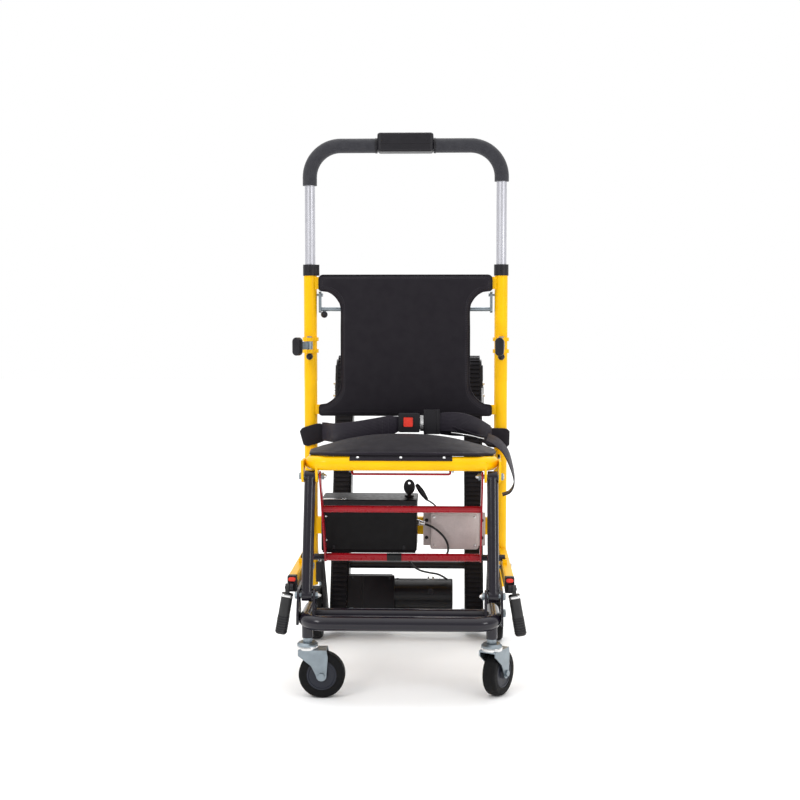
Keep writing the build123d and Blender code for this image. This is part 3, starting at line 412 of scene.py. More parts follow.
def smooth(piece, angle):
    """Smooth shading, with edges sharper than this angle kept crisp."""
    piece.data.polygons.foreach_set("use_smooth", [True] * len(piece.data.polygons))
    piece.data.set_sharp_from_angle(angle=math.radians(angle))
    return piece


def mount_joined(pieces, name, body, look):
    """Several meshes as one dressed piece."""
    bm = bmesh.new()
    for piece in pieces:
        bm.from_mesh(piece.data)
        bpy.data.objects.remove(piece)
    return mount(from_bmesh(name, bm), body, look)


def bevelled_cube(name, place, radius, segments, angle):
    """A unit cube whose corners go where place puts them, with rounded edges."""
    bm = bmesh.new()
    bmesh.ops.create_cube(bm, size=1)
    for vert in bm.verts:
        vert.co = place(vert.co)
    bmesh.ops.bevel(bm, geom=list(bm.edges), offset=radius, segments=segments, profile=0.5, affect="EDGES")
    return smooth(from_bmesh(name, bm), angle)


def rounded_box(name, low, high, radius, segments=3):
    """A box between two corners with rounded edges."""
    def place(corner):
        return [lo + (hi - lo) * (c + 0.5) for lo, hi, c in zip(low, high, corner)]

    return bevelled_cube(name, place, radius, segments, 40)


def lathe(name, centre, axis, profile, segments=32):
    """A turned piece: profile is a list of (distance along the axis, radius) from centre."""
    axis = Vector(axis).normalized()
    across = axis.orthogonal().normalized()
    other = axis.cross(across)
    points = []
    for along, radius in profile:
        for k in range(segments):
            turn = 2 * math.pi * k / segments
            ring = across * math.cos(turn) + other * math.sin(turn)
            points.append(Vector(centre) + axis * along + ring * max(radius, 1e-5))
    return smooth(new_mesh(name, points, ring_faces(len(profile), segments)), 30)


def curve_through(points, per_span):
    """A Catmull-Rom curve through these points, with per_span steps from each to the next."""
    points = [Vector(point) for point in points]
    ends = [2 * points[0] - points[1], *points, 2 * points[-1] - points[-2]]
    found = []
    for a, b, c, d in zip(ends, ends[1:], ends[2:], ends[3:]):
        for step in range(per_span):
            t = step / per_span
            squared, cubed = 2 * a - 5 * b + 4 * c - d, 3 * b - a - 3 * c + d
            found.append(0.5 * (2 * b + (c - a) * t + squared * t**2 + cubed * t**3))
    return [*found, points[-1]]


def strap(name, stations, thickness, per_span):
    """Flat webbing through stations of (point, width direction, width), with rounded edges and UVs."""
    centres = curve_through([station[0] for station in stations], per_span)
    across = curve_through([Vector(station[1]).normalized() * station[2] for station in stations], per_span)
    edge = thickness / 2
    points, lengths, travelled = [], [], 0.0
    ring = []
    for half, start in ((0.5, -90), (-0.5, 90)):
        for step in range(5):
            turn = math.radians(start + 45 * step)
            ring.append((half, math.cos(turn), math.sin(turn)))
    for index, (centre, wide) in enumerate(zip(centres, across)):
        before, after = centres[max(index - 1, 0)], centres[min(index + 1, len(centres) - 1)]
        along = (after - before).normalized()
        width = wide.length
        wide = (wide - along * wide.dot(along)).normalized()
        thick = along.cross(wide).normalized()
        if index:
            travelled += (centre - centres[index - 1]).length
        lengths.append(travelled)
        for half, out, up in ring:
            points.append(centre + wide * (half * (width - thickness) + out * edge) + thick * (up * edge))
    piece = new_mesh(name, points, ring_faces(len(centres), len(ring)))
    uv = piece.data.uv_layers.new(name="strap")
    for loop in piece.data.loops:
        row, k = divmod(loop.vertex_index, len(ring))
        half, out, _ = ring[k]
        uv.data[loop.index].uv = (0.5 + half * 0.94 + out * 0.03, lengths[row])
    return smooth(piece, 60)


def cable(name, points, radius):
    """A round cable on one smooth NURBS spline whose control points are these."""
    curve = bpy.data.curves.new(name, "CURVE")
    curve.dimensions = "3D"
    curve.bevel_depth = radius
    curve.bevel_resolution = 5
    curve.use_fill_caps = True
    spline = curve.splines.new("NURBS")
    spline.points.add(len(points) - 1)
    for control, place in zip(spline.points, points):
        control.co = (*place, 1)
    spline.use_endpoint_u = True
    spline.order_u = 3
    spline.resolution_u = 10
    return add_object(name, curve)


def as_mesh(piece):
    """The piece with its curve or modifiers made into a plain mesh."""
    evaluated = piece.evaluated_get(bpy.context.evaluated_depsgraph_get())
    mesh = bpy.data.meshes.new_from_object(evaluated)
    name = piece.name
    bpy.data.objects.remove(piece)
    mesh.name = name
    return add_object(name, mesh)


def resample(path, pitch):
    """Points at an even pitch along a polyline, each with its direction."""
    found, left = [], 0.0
    for start, end in zip(path, path[1:]):
        run = (end - start).length
        direction = (end - start).normalized()
        while left < run:
            found.append((start + direction * left, direction))
            left += pitch
        left -= run
    return found


def stitches(name, pad, path, look, pitch=0.0055, length=0.0036, radius=0.00045):
    """A row of thread stitches laid on pad under path, seen along look."""
    tree = BVHTree.FromObject(pad, bpy.context.evaluated_depsgraph_get())
    look = Vector(look).normalized()
    points, faces = [], []
    for place, direction in resample(path, pitch):
        hit = tree.ray_cast(place - look * 0.1, look)[0]
        if hit is None:
            continue
        side = direction.cross(look).normalized()
        faces += ring_faces(4, 6, len(points))
        for along, grow in ((-0.5, 0.3), (-0.3, 1.0), (0.3, 1.0), (0.5, 0.3)):
            centre = hit + direction * (along * length) - look * (radius * 0.4)
            for turn in range(6):
                angle = math.pi * turn / 3
                points.append(centre + (side * math.cos(angle) - look * math.sin(angle)) * (radius * grow))
    return smooth(new_mesh(name, points, faces), 80)


# ---- soft pads
def stuffed(name, node, voxel, pressure, cap, rest_normal):
    """A CAD pad remeshed and blown up by a cloth simulation.

    No point moves more than cap, and none moves out through the flat face that the pad rests on, whose
    outward normal is rest_normal. The edge seam holds the outline, so only movement along it is kept.
    """
    piece = add_object(name, frame["nodes"][node].data.copy())
    piece.data.materials.clear()
    remesh = piece.modifiers.new("remesh", "REMESH")
    remesh.mode = "VOXEL"
    remesh.voxel_size = voxel
    piece = as_mesh(piece)
    start = [vert.co.copy() for vert in piece.data.vertices]
    cloth = piece.modifiers.new("cloth", "CLOTH")
    cloth.settings.use_pressure = True
    cloth.settings.uniform_pressure_force = pressure
    cloth.settings.effector_weights.gravity = 0
    for number in range(1, 21):
        scene.frame_set(number)
    piece = as_mesh(piece)
    scene.frame_set(1)
    normal = Vector(rest_normal).normalized()
    level = max(place.dot(normal) for place in start)
    for vert, place in zip(piece.data.vertices, start):
        rise = (vert.co - place).dot(normal)
        vert.co = place + normal * max(-cap, min(cap, rise))
        over = vert.co.dot(normal) - level
        if over > 0:
            vert.co -= normal * over
    relax = piece.modifiers.new("relax", "SMOOTH")
    relax.factor = 0.5
    relax.iterations = 4
    finer = piece.modifiers.new("finer", "SUBSURF")
    finer.levels = 1
    return smooth(as_mesh(piece), 180)


def arc(x, z, radius, start, end):
    """Five points of a corner's arc in the backrest's plane."""
    turns = [math.radians(start + (end - start) * step / 4) for step in range(5)]
    return [Vector((x + radius * math.cos(turn), 0, z + radius * math.sin(turn))) for turn in turns]


def outline_of_backrest(inset):
    """The backrest's outline seen from the front, drawn from its box and moved in by inset."""
    low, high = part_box("backrest_pad")
    wide, top, bottom = high.x - inset, high.z - inset, low.z + inset
    waist = 0.158 - inset
    upper, lower = high.z - 0.04 + inset, low.z + 0.028 - inset
    half = [Vector((0, 0, top)), *arc(wide - 0.01, top - 0.01, 0.01, 90, 0)]
    half += arc(wide - 0.006, upper + 0.006, 0.006, 0, -90)
    curve = [(wide - 0.022, upper - 0.002), (0.178 - inset, upper - 0.009), (waist + 0.008, upper - 0.022)]
    curve += [(waist, upper - 0.043), (waist, upper - 0.1), (waist, lower + 0.1)]
    curve += [(waist, lower + 0.05), (waist + 0.008, lower + 0.027), (0.18 - inset, lower + 0.011)]
    curve += [(wide - 0.018, lower + 0.002)]
    half += curve_through([Vector((x, 0, z)) for x, z in curve], 6)
    half += arc(wide - 0.006, lower - 0.006, 0.006, 90, 0)
    half += [*arc(wide - 0.006, bottom + 0.006, 0.006, 0, -90), Vector((0, 0, bottom))]
    return half + [Vector((-point.x, 0, point.z)) for point in reversed(half[1:-1])]


def make_backrest():
    """A padded sling with bound edges and two rows of stitching, hung on the uprights' tabs."""
    low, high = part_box("backrest_pad")
    middle = Vector((0, (low.y + high.y) / 2, 0))
    pad = stuffed("backrest", "backrest_pad", 0.005, 4.0, 0.006, (0, 1, 0))
    mount(pad, "frame", "black_fabric")
    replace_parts(pad, "backrest_pad")
    edge = [point + middle for point in outline_of_backrest(0.0012)]
    edge.append(edge[0])
    ring = [(point, (0, 1, 0), high.y - low.y - 0.0006) for point in edge]
    mount(strap("backrest_binding", ring, 0.0032, 1), "frame", "black_fabric")
    for number, inset in enumerate((0.007, 0.01)):
        path = [point + middle for point in outline_of_backrest(inset)]
        row = stitches(f"backrest_stitching_{number + 1}", pad, [*path, path[0]], (0, 1, 0))
        mount(row, "frame", "thread")


def make_seat():
    """The seat's cushion, with its piping and its front flap."""
    low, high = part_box("seat_pad")
    slope = math.radians(3.56)
    down = Vector((0, -math.sin(slope), -math.cos(slope)))
    pad = stuffed("seat_cushion", "seat_pad", 0.005, 5.0, 0.007, down)
    dome_seat(pad, down, low, high)
    mount(pad, "seat", "black_fabric")
    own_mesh(pad)
    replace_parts(pad, "seat_pad")
    make_seat_piping(pad, low, high, math.tan(slope))
    make_seat_flap()


def make_seat_piping(pad, low, high, rise):
    """A thin cord sewn round the cushion's edge."""
    front, back = low.y, high.y
    half = [(0, front), (0.16, front), (0.174, front + 0.006), (0.205, front + 0.04)]
    half += [(0.2135, front + 0.13), (0.2135, front + 0.145), (0.204, front + 0.29)]
    half += [(0.199, front + 0.318), (0.188, back - 0.012), (0.184, back - 0.002), (0.17, back), (0, back)]
    outline = half + [(-x, y) for x, y in reversed(half[1:-1])]
    tree = BVHTree.FromObject(pad, bpy.context.evaluated_depsgraph_get())
    path = []
    for x, y in [*outline, outline[0]]:
        path.append(tree.find_nearest(Vector((x, y, low.z + 0.012 + (back - y) * rise)))[0])
    mount(cable("seat_piping", path, 0.0024), "seat", "webbing")


def make_seat_flap():
    """A flap of the cushion's cover wrapped over the seat's front tube, and its three screws."""
    tube_low, tube_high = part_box("seat_frame")
    radius = 0.016
    centre = Vector((0, tube_low.y + radius, tube_high.z - radius))

    def around(turn):
        return Vector((0, math.cos(math.radians(turn)), math.sin(math.radians(turn))))

    wrap = []
    for turn in (62, 74, 90, 106, 122, 138, 152):
        wrap.append((centre + around(turn) * (radius + 0.0014), (1, 0, 0), 0.226))
    mount(strap("seat_flap", wrap, 0.0022, 3), "seat", "black_fabric")
    ray = around(128)
    head = [(-0.001, 0.0036), (0.0012, 0.0036), (0.0022, 0.0026), (0.0026, 0.0)]
    screws = []
    for x in (-0.095, 0.0, 0.095):
        screws.append(lathe("flap_screw", centre + ray * (radius + 0.002) + Vector((x, 0, 0)), ray, head, 16))
    mount_joined(screws, "seat_flap_screws", "seat", "screw_steel")


def dome_seat(pad, down, low, high):
    """Thins the cushion towards its edges, as sewing does, and crowns its top ahead of the middle."""
    floor_level = max(vert.co.dot(down) for vert in pad.data.vertices)
    thick = max(floor_level - vert.co.dot(down) for vert in pad.data.vertices)
    middle, half = (low + high) / 2, (high - low) / 2
    crown, crown_ahead, crown_reach = 0.017, 0.29, 1.2
    for vert in pad.data.vertices:
        out_x = (vert.co.x - middle.x) / half.x
        out_y = (vert.co.y - middle.y) / half.y
        edge = min(1.0, (out_x**4 + out_y**4) ** 0.25)
        keep = 1.0 - 0.68 * edge**2.6
        height = floor_level - vert.co.dot(down)
        along = min(1.0, abs(out_y + crown_ahead) / crown_reach)
        lift = crown * max(0.0, 1 - out_x**2) * math.cos(math.pi / 2 * along) ** 2 * (1 - edge**4)
        vert.co += down * (height * (1 - keep) - lift * height / thick)


def make_side_bands():
    """Padded bands that wrap the uprights at the back corners of the seat."""
    low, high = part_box("side_bands")
    middle = (low + high) / 2
    shape = ((0.197, 0.0016, 0.7), (0.204, 0.0006, 0.92), (0.216, 0, 1), (0.236, 0, 1), (0.248, 0.0004, 0.96),
             (0.255, 0.002, 0.74))
    slopes = {"left": 0.3, "right": 0.02}
    bands = []
    for name, side in sides.items():
        stations = []
        for x, back, tall in shape:
            centre = (side * x, middle.y + back, middle.z + (0.25 - x) * slopes[name])
            stations.append((centre, (0, 0, 1), (high.z - low.z) * tall))
        bands.append(strap("band", stations, 0.0052, 5))
    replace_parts(mount_joined(bands, "seat_side_bands", "frame", "black_fabric"), "side_bands")


# ---- lap belt
def make_belt():
    """The belt's straps, with the stitched doubled end and the loose tail, and the wire slide under them."""
    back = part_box("backrest_pad")[0].y
    front = middle_of("buckle_housing").y
    wide = 0.046

    def lay(name, stations):
        piece = mount(strap(f"belt_{name}", stations, 0.0024, 10), "seat", "webbing")
        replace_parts(piece, "belt_webbing")
        return piece

    def level(*rows):
        """Stations that stand upright, each (x, y, z, share of the full width)."""
        return [((x, y, z), (0, 0, 1), wide * share) for x, y, z, share in rows]

    lay("left", level(
        (-0.203, back + 0.0005, 0.535, 1), (-0.192, back - 0.016, 0.536, 1), (-0.165, back - 0.062, 0.538, 1),
        (-0.11, back - 0.1, 0.547, 1), (-0.06, front + 0.006, 0.557, 1), (-0.03, front, 0.563, 1),
    ))
    doubled = lay("doubled", level(
        (-0.058, front + 0.0025, 0.5575, 1), (-0.044, front - 0.0015, 0.56, 1),
        (-0.03, front - 0.003, 0.563, 1), (-0.02, front - 0.003, 0.565, 0.86),
        (-0.01, front - 0.001, 0.567, 0.74),
    ))
    lay("gathered", level(
        (-0.031, front, 0.563, 1), (-0.021, front + 0.001, 0.565, 0.84),
        (-0.009, front + 0.001, 0.567, 0.72),
    ))
    lay("right", [
        ((0.083, front, 0.57), (0, 0, 1), wide * 0.92),
        ((0.11, front + 0.004, 0.571), (0, -0.1, 1), wide),
        ((0.142, front + 0.022, 0.566), (0, -0.35, 0.95), wide),
        ((0.172, front + 0.052, 0.552), (-0.1, -0.6, 0.8), wide),
        ((0.196, front + 0.088, 0.535), (-0.3, -0.7, 0.6), wide),
        ((0.211, back - 0.014, 0.526), (-0.4, -0.5, 0.7), wide),
    ])
    lay("lower", [
        ((0.084, front + 0.006, 0.556), (0, -0.2, 1), 0.03),
        ((0.118, front + 0.02, 0.546), (0, -0.8, 0.6), 0.036),
        ((0.152, front + 0.046, 0.536), (0, -1, 0.3), 0.04),
        ((0.184, front + 0.075, 0.528), (-0.2, -1, 0.2), 0.04),
    ])
    lay("tail", [
        ((0.199, back - 0.066, 0.529), (0.25, 0.9, 0.25), wide),
        ((0.222, back - 0.066, 0.517), (0.35, 0.9, 0.2), wide),
        ((0.243, back - 0.064, 0.494), (0.3, 0.95, 0.1), wide),
        ((0.258, back - 0.062, 0.455), (0.16, 1, 0.05), wide),
        ((0.264, back - 0.062, 0.42), (0.06, 1, 0), wide),
        ((0.254, back - 0.062, 0.398), (0, 1, 0), wide),
        ((0.236, back - 0.062, 0.39), (0, 1, 0), wide),
    ])
    for number, (x, z) in enumerate(((-0.036, 0.563), (-0.05, 0.5585))):
        path = [Vector((x, front, z + half)) for half in (-0.019, 0.019)]
        seam = stitches(f"belt_seam_{number + 1}", doubled, path, (0, 1, 0), 0.0035, 0.0026, 0.0005)
        mount(seam, "seat", "thread")
    wire = [(0.112, front + 0.004, 0.545), (0.15, front + 0.01, 0.54)]
    wire += [(0.188, front + 0.04, 0.527), (0.19, front + 0.05, 0.527)]
    mount(cable("belt_slide", wire, 0.0016), "seat", "screw_steel")


def make_buckle_detail():
    """The tongue's steel plate, the adjuster's ridges, and a moulded frame round the push button."""
    middle_y = middle_of("buckle_housing").y
    low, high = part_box("belt_tongue")
    plate = rounded_box("tongue_plate", (low.x - 0.001, middle_y - 0.0022, low.z + 0.012),
                        (low.x + 0.0098, middle_y + 0.0022, high.z - 0.014), 0.0008)
    mount(plate, "seat", "screw_steel")
    ridges = []
    for x in (high.x - 0.006, low.x + 0.012):
        ridges.append(rounded_box("ridge", (x - 0.0022, low.y - 0.0016, low.z + 0.001),
                                  (x + 0.0022, low.y + 0.003, high.z - 0.001), 0.0012))
    mount_joined(ridges, "adjuster_ridges", "seat", "black_plastic")
    low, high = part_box("buckle_button")
    rim, gap = 0.0022, 0.0004
    left, right, bottom, top = low.x - rim, high.x + rim, low.z - gap, high.z + gap
    bars = ((left, low.z - rim, right, bottom), (left, top, right, high.z + rim),
            (left, bottom, low.x - gap, top), (high.x + gap, bottom, right, top))
    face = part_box("buckle_housing")[0].y
    bezel = []
    for x0, z0, x1, z1 in bars:
        bezel.append(rounded_box("rim", (x0, face - 0.0012, z0), (x1, face + 0.002, z1), 0.0006, 2))
    mount_joined(bezel, "buckle_bezel", "seat", "black_plastic")


# ---- fasteners
def acorn(centre, axis, size):
    """A domed cap nut."""
    profile = [(0, size), (size * 0.5, size), (size * 0.6, size * 0.82)]
    for step in range(1, 6):
        turn = math.radians(18 * step)
        profile.append((size * 0.6 + size * 0.8 * math.sin(turn), size * 0.82 * math.cos(turn)))
    return lathe("acorn", centre, axis, profile, 20)


def pan_head(centre, axis, radius):
    """A pan-head screw with a round recess."""
    profile = [(-radius * 0.3, radius), (radius * 0.25, radius), (radius * 0.5, radius * 0.75)]
    profile += [(radius * 0.55, radius * 0.4), (radius * 0.2, radius * 0.3), (radius * 0.2, 0)]
    return lathe("pan_head", centre, axis, profile, 20)


def front_screws(xs, y, zs, radius):
    """Pan heads in a grid on a face that looks towards the front."""
    return [pan_head((x, y, z), (0, -1, 0), radius) for x in xs for z in zs]


def make_fasteners():
    """Cap nuts and washers on the clevis pins, the foot bolts and the seat's pivots."""
    pins = (("seat", "clevis", pivot_of("leg_swing"), 0.1716, 0.2258),
            ("base", "foot", middle_of("base_bolts"), 0.1786, 0.228),
            ("frame", "pivot", pivot_of("seat_fold"), 0.1792, 0.229))
    washer = [(0, 0.0062), (0.0012, 0.0062), (0.002, 0.005), (0.002, 0)]
    for body, name, pin, inner, outer in pins:
        nuts = []
        for side in sides.values():
            nuts.append(acorn((side * inner, pin.y, pin.z), (-side, 0, 0), 0.005))
            nuts.append(lathe("washer", (side * outer, pin.y, pin.z), (side, 0, 0), washer, 24))
        mount_joined(nuts, f"{name}_cap_nuts", body, "screw_steel")


def make_battery_detail():
    """Screws and two ribs on the battery's front, a steel strip on its lid and a lip round the lid's edge."""
    low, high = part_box("battery_box")
    lid_low, lid_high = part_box("battery_lid")
    screws = front_screws((low.x + 0.012,), low.y, (low.z + 0.026, high.z - 0.026), 0.0024)
    mount_joined(screws, "battery_screws", "frame", "screw_steel")
    strip = rounded_box("battery_lid_strip", (low.x + 0.004, low.y + 0.004, lid_high.z - 0.0048),
                        (low.x + 0.058, low.y + 0.02, lid_high.z - 0.003), 0.0006)
    mount(strip, "frame", "screw_steel")
    lip = rounded_box("battery_lid_lip", (lid_low.x + 0.004, lid_low.y - 0.0012, lid_low.z + 0.0035),
                      (lid_high.x - 0.004, lid_low.y + 0.003, lid_low.z + 0.0062), 0.0008)
    mount(lip, "frame", "black_plastic")
    ribs = []
    for x in (low.x + 0.03, high.x - 0.03):
        ribs.append(rounded_box("rib", (x - 0.003, low.y - 0.0012, low.z + 0.004),
                                (x + 0.003, low.y + 0.002, low.z + 0.014), 0.0008))
    mount_joined(ribs, "battery_ribs", "frame", "black_plastic")


def make_controller_detail():
    """The controller's corner screws, the bolts through its flanges, and its raised cover."""
    low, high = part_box("controller_box")
    flange, inset = 0.017, 0.009
    body_low, body_high = low.x + flange, high.x - flange
    heights = (low.z + inset, high.z - inset)
    screws = front_screws((body_low + inset, body_high - inset), low.y, heights, 0.0032)
    mount_joined(screws, "controller_screws", "frame", "screw_steel")
    middle_z = (low.z + high.z) / 2
    heights = (middle_z - 0.021, middle_z + 0.021)
    bolts = front_screws((low.x + 0.008, high.x - 0.008), high.y - 0.004, heights, 0.0042)
    mount_joined(bolts, "controller_bolts", "frame", "black_plastic")
    panel = rounded_box("controller_cover", (body_low + 0.0035, low.y - 0.0008, low.z + 0.0035),
                        (body_high - 0.0035, low.y + 0.002, high.z - 0.0035), 0.0012)
    mount(panel, "frame", "controller_aluminium")


def track_axes():
    """The track unit's foot, and its directions up the track and out towards its front."""
    foot = pivot_of("track_fold")
    up = (pivot_of("idler_turn") - foot).normalized()
    return foot, up, Vector((0, -up.z, up.y))


def track_point(along, out, x):
    """A point on the track unit: along its centreline from the drive shaft, and out towards its front."""
    foot, up, forward = track_axes()
    return Vector((x, 0, 0)) + foot + up * along + forward * out


def make_motor_detail():
    """The motor's raised rings, its brush cap and its two terminals."""
    low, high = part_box("motor")
    _, up, forward = track_axes()
    radius, along = 0.04, 0.05
    rings = []
    for x, wide, proud in ((low.x + 0.004, 0.006, 0.0012), (high.x - 0.02, 0.003, 0.001),
                           (high.x - 0.034, 0.0016, 0.0008)):
        inner, outer = radius - 0.002, radius + proud
        profile = [(0, inner), (0, outer), (wide, outer), (wide, inner)]
        rings.append(lathe("ring", track_point(along, 0, x), (1, 0, 0), profile, 64))
    mount_joined(rings, "motor_rings", "track", "motor_casing")
    profile = [(0, 0.0072), (0.0028, 0.0072), (0.0034, 0.0062)]
    profile += [(0.0034, 0.002), (0.0022, 0.0016), (0.0022, 0)]
    cap = lathe("motor_brush_cap", track_point(along, radius + 0.0005, 0.062), forward, profile, 28)
    mount(cap, "track", "black_plastic")
    profile = [(0, 0.003), (0.008, 0.003), (0.009, 0.002), (0.009, 0)]
    posts = [lathe("post", track_point(along + 0.0335, 0.02, x), up, profile, 16) for x in (0.056, 0.068)]
    mount_joined(posts, "motor_terminals", "track", "screw_steel")


def gearbox_seam(left):
    """A thin raised bar up the gearbox's front."""
    width, deep, bottom, top = 0.0018, 0.0024, -0.006, 0.09

    def place(corner):
        x, y, z = corner
        return track_point(bottom + (z + 0.5) * (top - bottom), 0.0375 + y * deep, left + width * x)

    return bevelled_cube("seam", place, 0.0004, 2, 35)


def make_gearbox_detail():
    """Two raised seams and four screws on the gearbox's front."""
    low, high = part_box("gearbox")
    _, _, forward = track_axes()
    seams = [gearbox_seam(low.x + 0.034), gearbox_seam(low.x + 0.038)]
    screws = []
    for x in (low.x + 0.01, high.x - 0.012):
        for along in (0.0, 0.084):
            screws.append(pan_head(track_point(along, 0.038, x), forward, 0.0032))
    mount_joined(seams, "gearbox_seam", "track", "motor_casing")
    mount_joined(screws, "gearbox_screws", "track", "black_plastic")


def make_track_detail():
    """The tensioners' bolts and rods, on the outsides of the tracks near their tops."""
    foot, up, _ = track_axes()
    length = (pivot_of("idler_turn") - foot).length
    head = [(-0.002, 0.0055), (0.0025, 0.0055), (0.004, 0.0042), (0.004, 0)]
    pieces = []
    for side in sides.values():
        for drop in (0.04, 0.074):
            bolt = track_point(length - drop, 0.004, side * 0.2022)
            pieces.append(lathe("bolt", bolt, (side, 0, 0), head, 20))
        rod_start = track_point(length - 0.096, 0.0, side * 0.2016)
        pieces.append(lathe("rod", rod_start, up, [(0, 0.0024), (0.05, 0.0024)], 16))
    mount_joined(pieces, "track_tensioners", "track", "screw_steel")


# ---- handles, wheels, labels
def make_handle_detail():
    """A screw in each upright's collar, and the control box's end gaskets and cover screws."""
    upright_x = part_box("uprights")[1].x - 0.016
    face_y = middle_of("uprights").y - 0.0172
    screws = front_screws((-upright_x, upright_x), face_y, (middle_of("upright_collars").z,), 0.0036)
    mount_joined(screws, "collar_screws", "frame", "black_plastic")
    end_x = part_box("control_box_lower")[1].x + 0.0002
    middle_y = middle_of("control_box_lower").y
    tube_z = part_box("handle_tube")[1].z - 0.0125
    profile = [(0, 0.0178), (0.001, 0.0186), (0.005, 0.0186), (0.006, 0.0178)]
    gaskets = []
    for side in sides.values():
        gaskets.append(lathe("gasket", (side * end_x, middle_y, tube_z), (side, 0, 0), profile, 40))
    mount_joined(gaskets, "control_gaskets", "push_handle", "black_plastic")
    low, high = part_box("control_box_upper")
    screws = []
    for x in (-0.056, 0.056):
        screws.append(pan_head((x, high.y, low.z + 0.008), (0, 1, 0), 0.0028))
        screws.append(pan_head((x, low.y, low.z + 0.008), (0, -1, 0), 0.0022))
    mount_joined(screws, "control_screws", "push_handle", "black_plastic")


def make_side_handle_caps():
    """Rubber caps over the side handles' ends: each section is two half circles joined by straight sides."""
    angles = {"left": 27.0, "right": -7.0}
    sections = ((0.0455, 0.92), (0.0458, 1.03), (0.0475, 1.06), (0.0585, 1.06), (0.0606, 1.0), (0.0612, 0.84))
    count, radius, straight = 32, 0.01, 0.0115
    for name, side in sides.items():
        pin = pivot_of(f"side_handle_swing_{name}")
        turn = math.radians(angles[name])
        forward = Vector((side * math.sin(turn), -math.cos(turn), 0))
        across = Vector((0, 0, 1)).cross(forward)
        root = Vector((pin.x, pin.y, middle_of(f"side_handle_{name}").z))
        points = []
        for out, grow in sections:
            for k in range(count):
                angle = 2 * math.pi * k / count
                shift = math.copysign(straight, math.sin(angle)) * (1 if grow > 0.9 else 0.97)
                wide, tall = radius * grow * math.cos(angle), radius * grow * math.sin(angle) + shift
                points.append(root + forward * out + across * wide + Vector((0, 0, tall)))
        cap = new_mesh(f"side_handle_cap_{name}", points, ring_faces(len(sections), count))
        mount(smooth(cap, 50), f"side_handle_{name}", "black_plastic")


def ball(name, centre, radius):
    """A turned ball knob."""
    turns = [math.pi * step / 16 for step in range(17)]
    profile = [(-radius * math.cos(turn), radius * math.sin(turn)) for turn in turns]
    return lathe(name, centre, (0, 0, 1), profile)


def make_knobs():
    """Black knobs on the side handles' pins and on the latch rod's catch."""
    for name in sides:
        pin = pivot_of(f"side_handle_swing_{name}")
        knob = ball(f"side_handle_knob_{name}", (pin.x, pin.y, 0.7195), 0.0083)
        mount(knob, "frame", "black_plastic")
    low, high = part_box("latch_rod")
    knob = ball("latch_knob", (-0.2, (low.y + high.y) / 2, low.z + 0.008), 0.0084)
    mount(knob, "latch_rod", "black_plastic")


def make_wheel_detail():
    """Hub discs on both faces of every wheel, and dust covers on the casters' swivels."""
    hub = [(0, 0.0462), (0.0012, 0.0452), (0.0016, 0.022), (0.0054, 0.0186), (0.0055, 0.0092), (0, 0.0092)]
    race = [(0, 0.0228), (0.003, 0.0236), (0.0045, 0.0236), (0.007, 0.0228)]
    rim = [(-0.001, 0.0325), (0.0012, 0.0322), (0.0016, 0.0285), (0.0002, 0.0275)]
    rim += [(-0.0006, 0.013), (0.002, 0.0115), (0.0036, 0.01), (0.0036, 0.0)]
    for name in sides:
        axle = Vector((1, 0, 0))
        discs = both_faces(middle_of(f"rear_wheel_{name}"), axle, 0.0102, hub)
        mount_joined(discs, f"rear_hub_{name}", f"rear_wheel_{name}", "black_plastic")
        swivel = pivot_of(f"caster_swivel_{name}")
        cover = lathe(f"caster_race_{name}", (swivel.x, swivel.y, 0.1055), (0, 0, 1), race, 48)
        mount(cover, f"caster_{name}", "screw_steel")
        axle = Vector(joints[f"caster_roll_{name}"]["axis"])
        discs = both_faces(pivot_of(f"caster_roll_{name}"), axle, 0.013, rim)
        mount_joined(discs, f"caster_rim_{name}", f"caster_wheel_{name}", "hub_plastic")


def both_faces(centre, axle, out, profile):
    """The same turned disc on both faces of a wheel."""
    return [lathe("disc", centre + axle * (face * out), axle * face, profile, 48) for face in (-1, 1)]


def make_grip_detail():
    """A steel neck and a ribbed sleeve on each carry grip."""
    splay = math.radians(10)
    for name, side in sides.items():
        pin = pivot_of(f"grip_fold_{name}")
        down = Vector((side * math.sin(splay), 0, -math.cos(splay)))
        top = Vector((side * 0.249, pin.y, pin.z - 0.013))
        ribs = []
        for number in range(7):
            rib_top = top + down * (0.05 + 0.0056 * number)
            ribs.append(grip_ring("rib", rib_top, down, 0.0112, 0.0132, 0.0034))
        mount_joined(ribs, f"grip_sleeve_{name}", f"carry_grip_{name}", "black_plastic")
        neck = grip_ring(f"grip_neck_{name}", top + down * 0.001, down, 0.011, 0.013, 0.0062)
        mount(neck, f"carry_grip_{name}", "screw_steel")


def grip_ring(name, centre, axis, half_deep, half_wide, height):
    """A rounded band round a carry grip: half_deep along Y, half_wide across it."""
    deep = Vector((0, 1, 0))
    across = deep.cross(axis).normalized()
    sections = ((0, 0.94), (0.2, 1.0), (0.8, 1.0), (1.0, 0.94))
    count = 32
    points = []
    for along, grow in sections:
        for k in range(count):
            # a superellipse, close to the grip's rounded rectangle
            c, s = math.cos(2 * math.pi * k / count), math.sin(2 * math.pi * k / count)
            u = math.copysign(abs(c) ** 0.55, c) * half_deep * grow
            v = math.copysign(abs(s) ** 0.55, s) * half_wide * grow
            points.append(centre + axis * (along * height) + deep * u + across * v)
    return smooth(new_mesh(name, points, ring_faces(len(sections), count)), 40)


def make_brace_label():
    """A blank black label wrapped round the lower cross tube."""
    tube = middle_of("brace_stubs")
    wide, inner, outer = 0.034, 0.009, 0.0094
    profile = [(0, inner), (0, outer), (wide, outer), (wide, inner)]
    label = lathe("brace_label", (-0.037, tube.y, tube.z), (1, 0, 0), profile, 40)
    mount(label, "brace", "label")


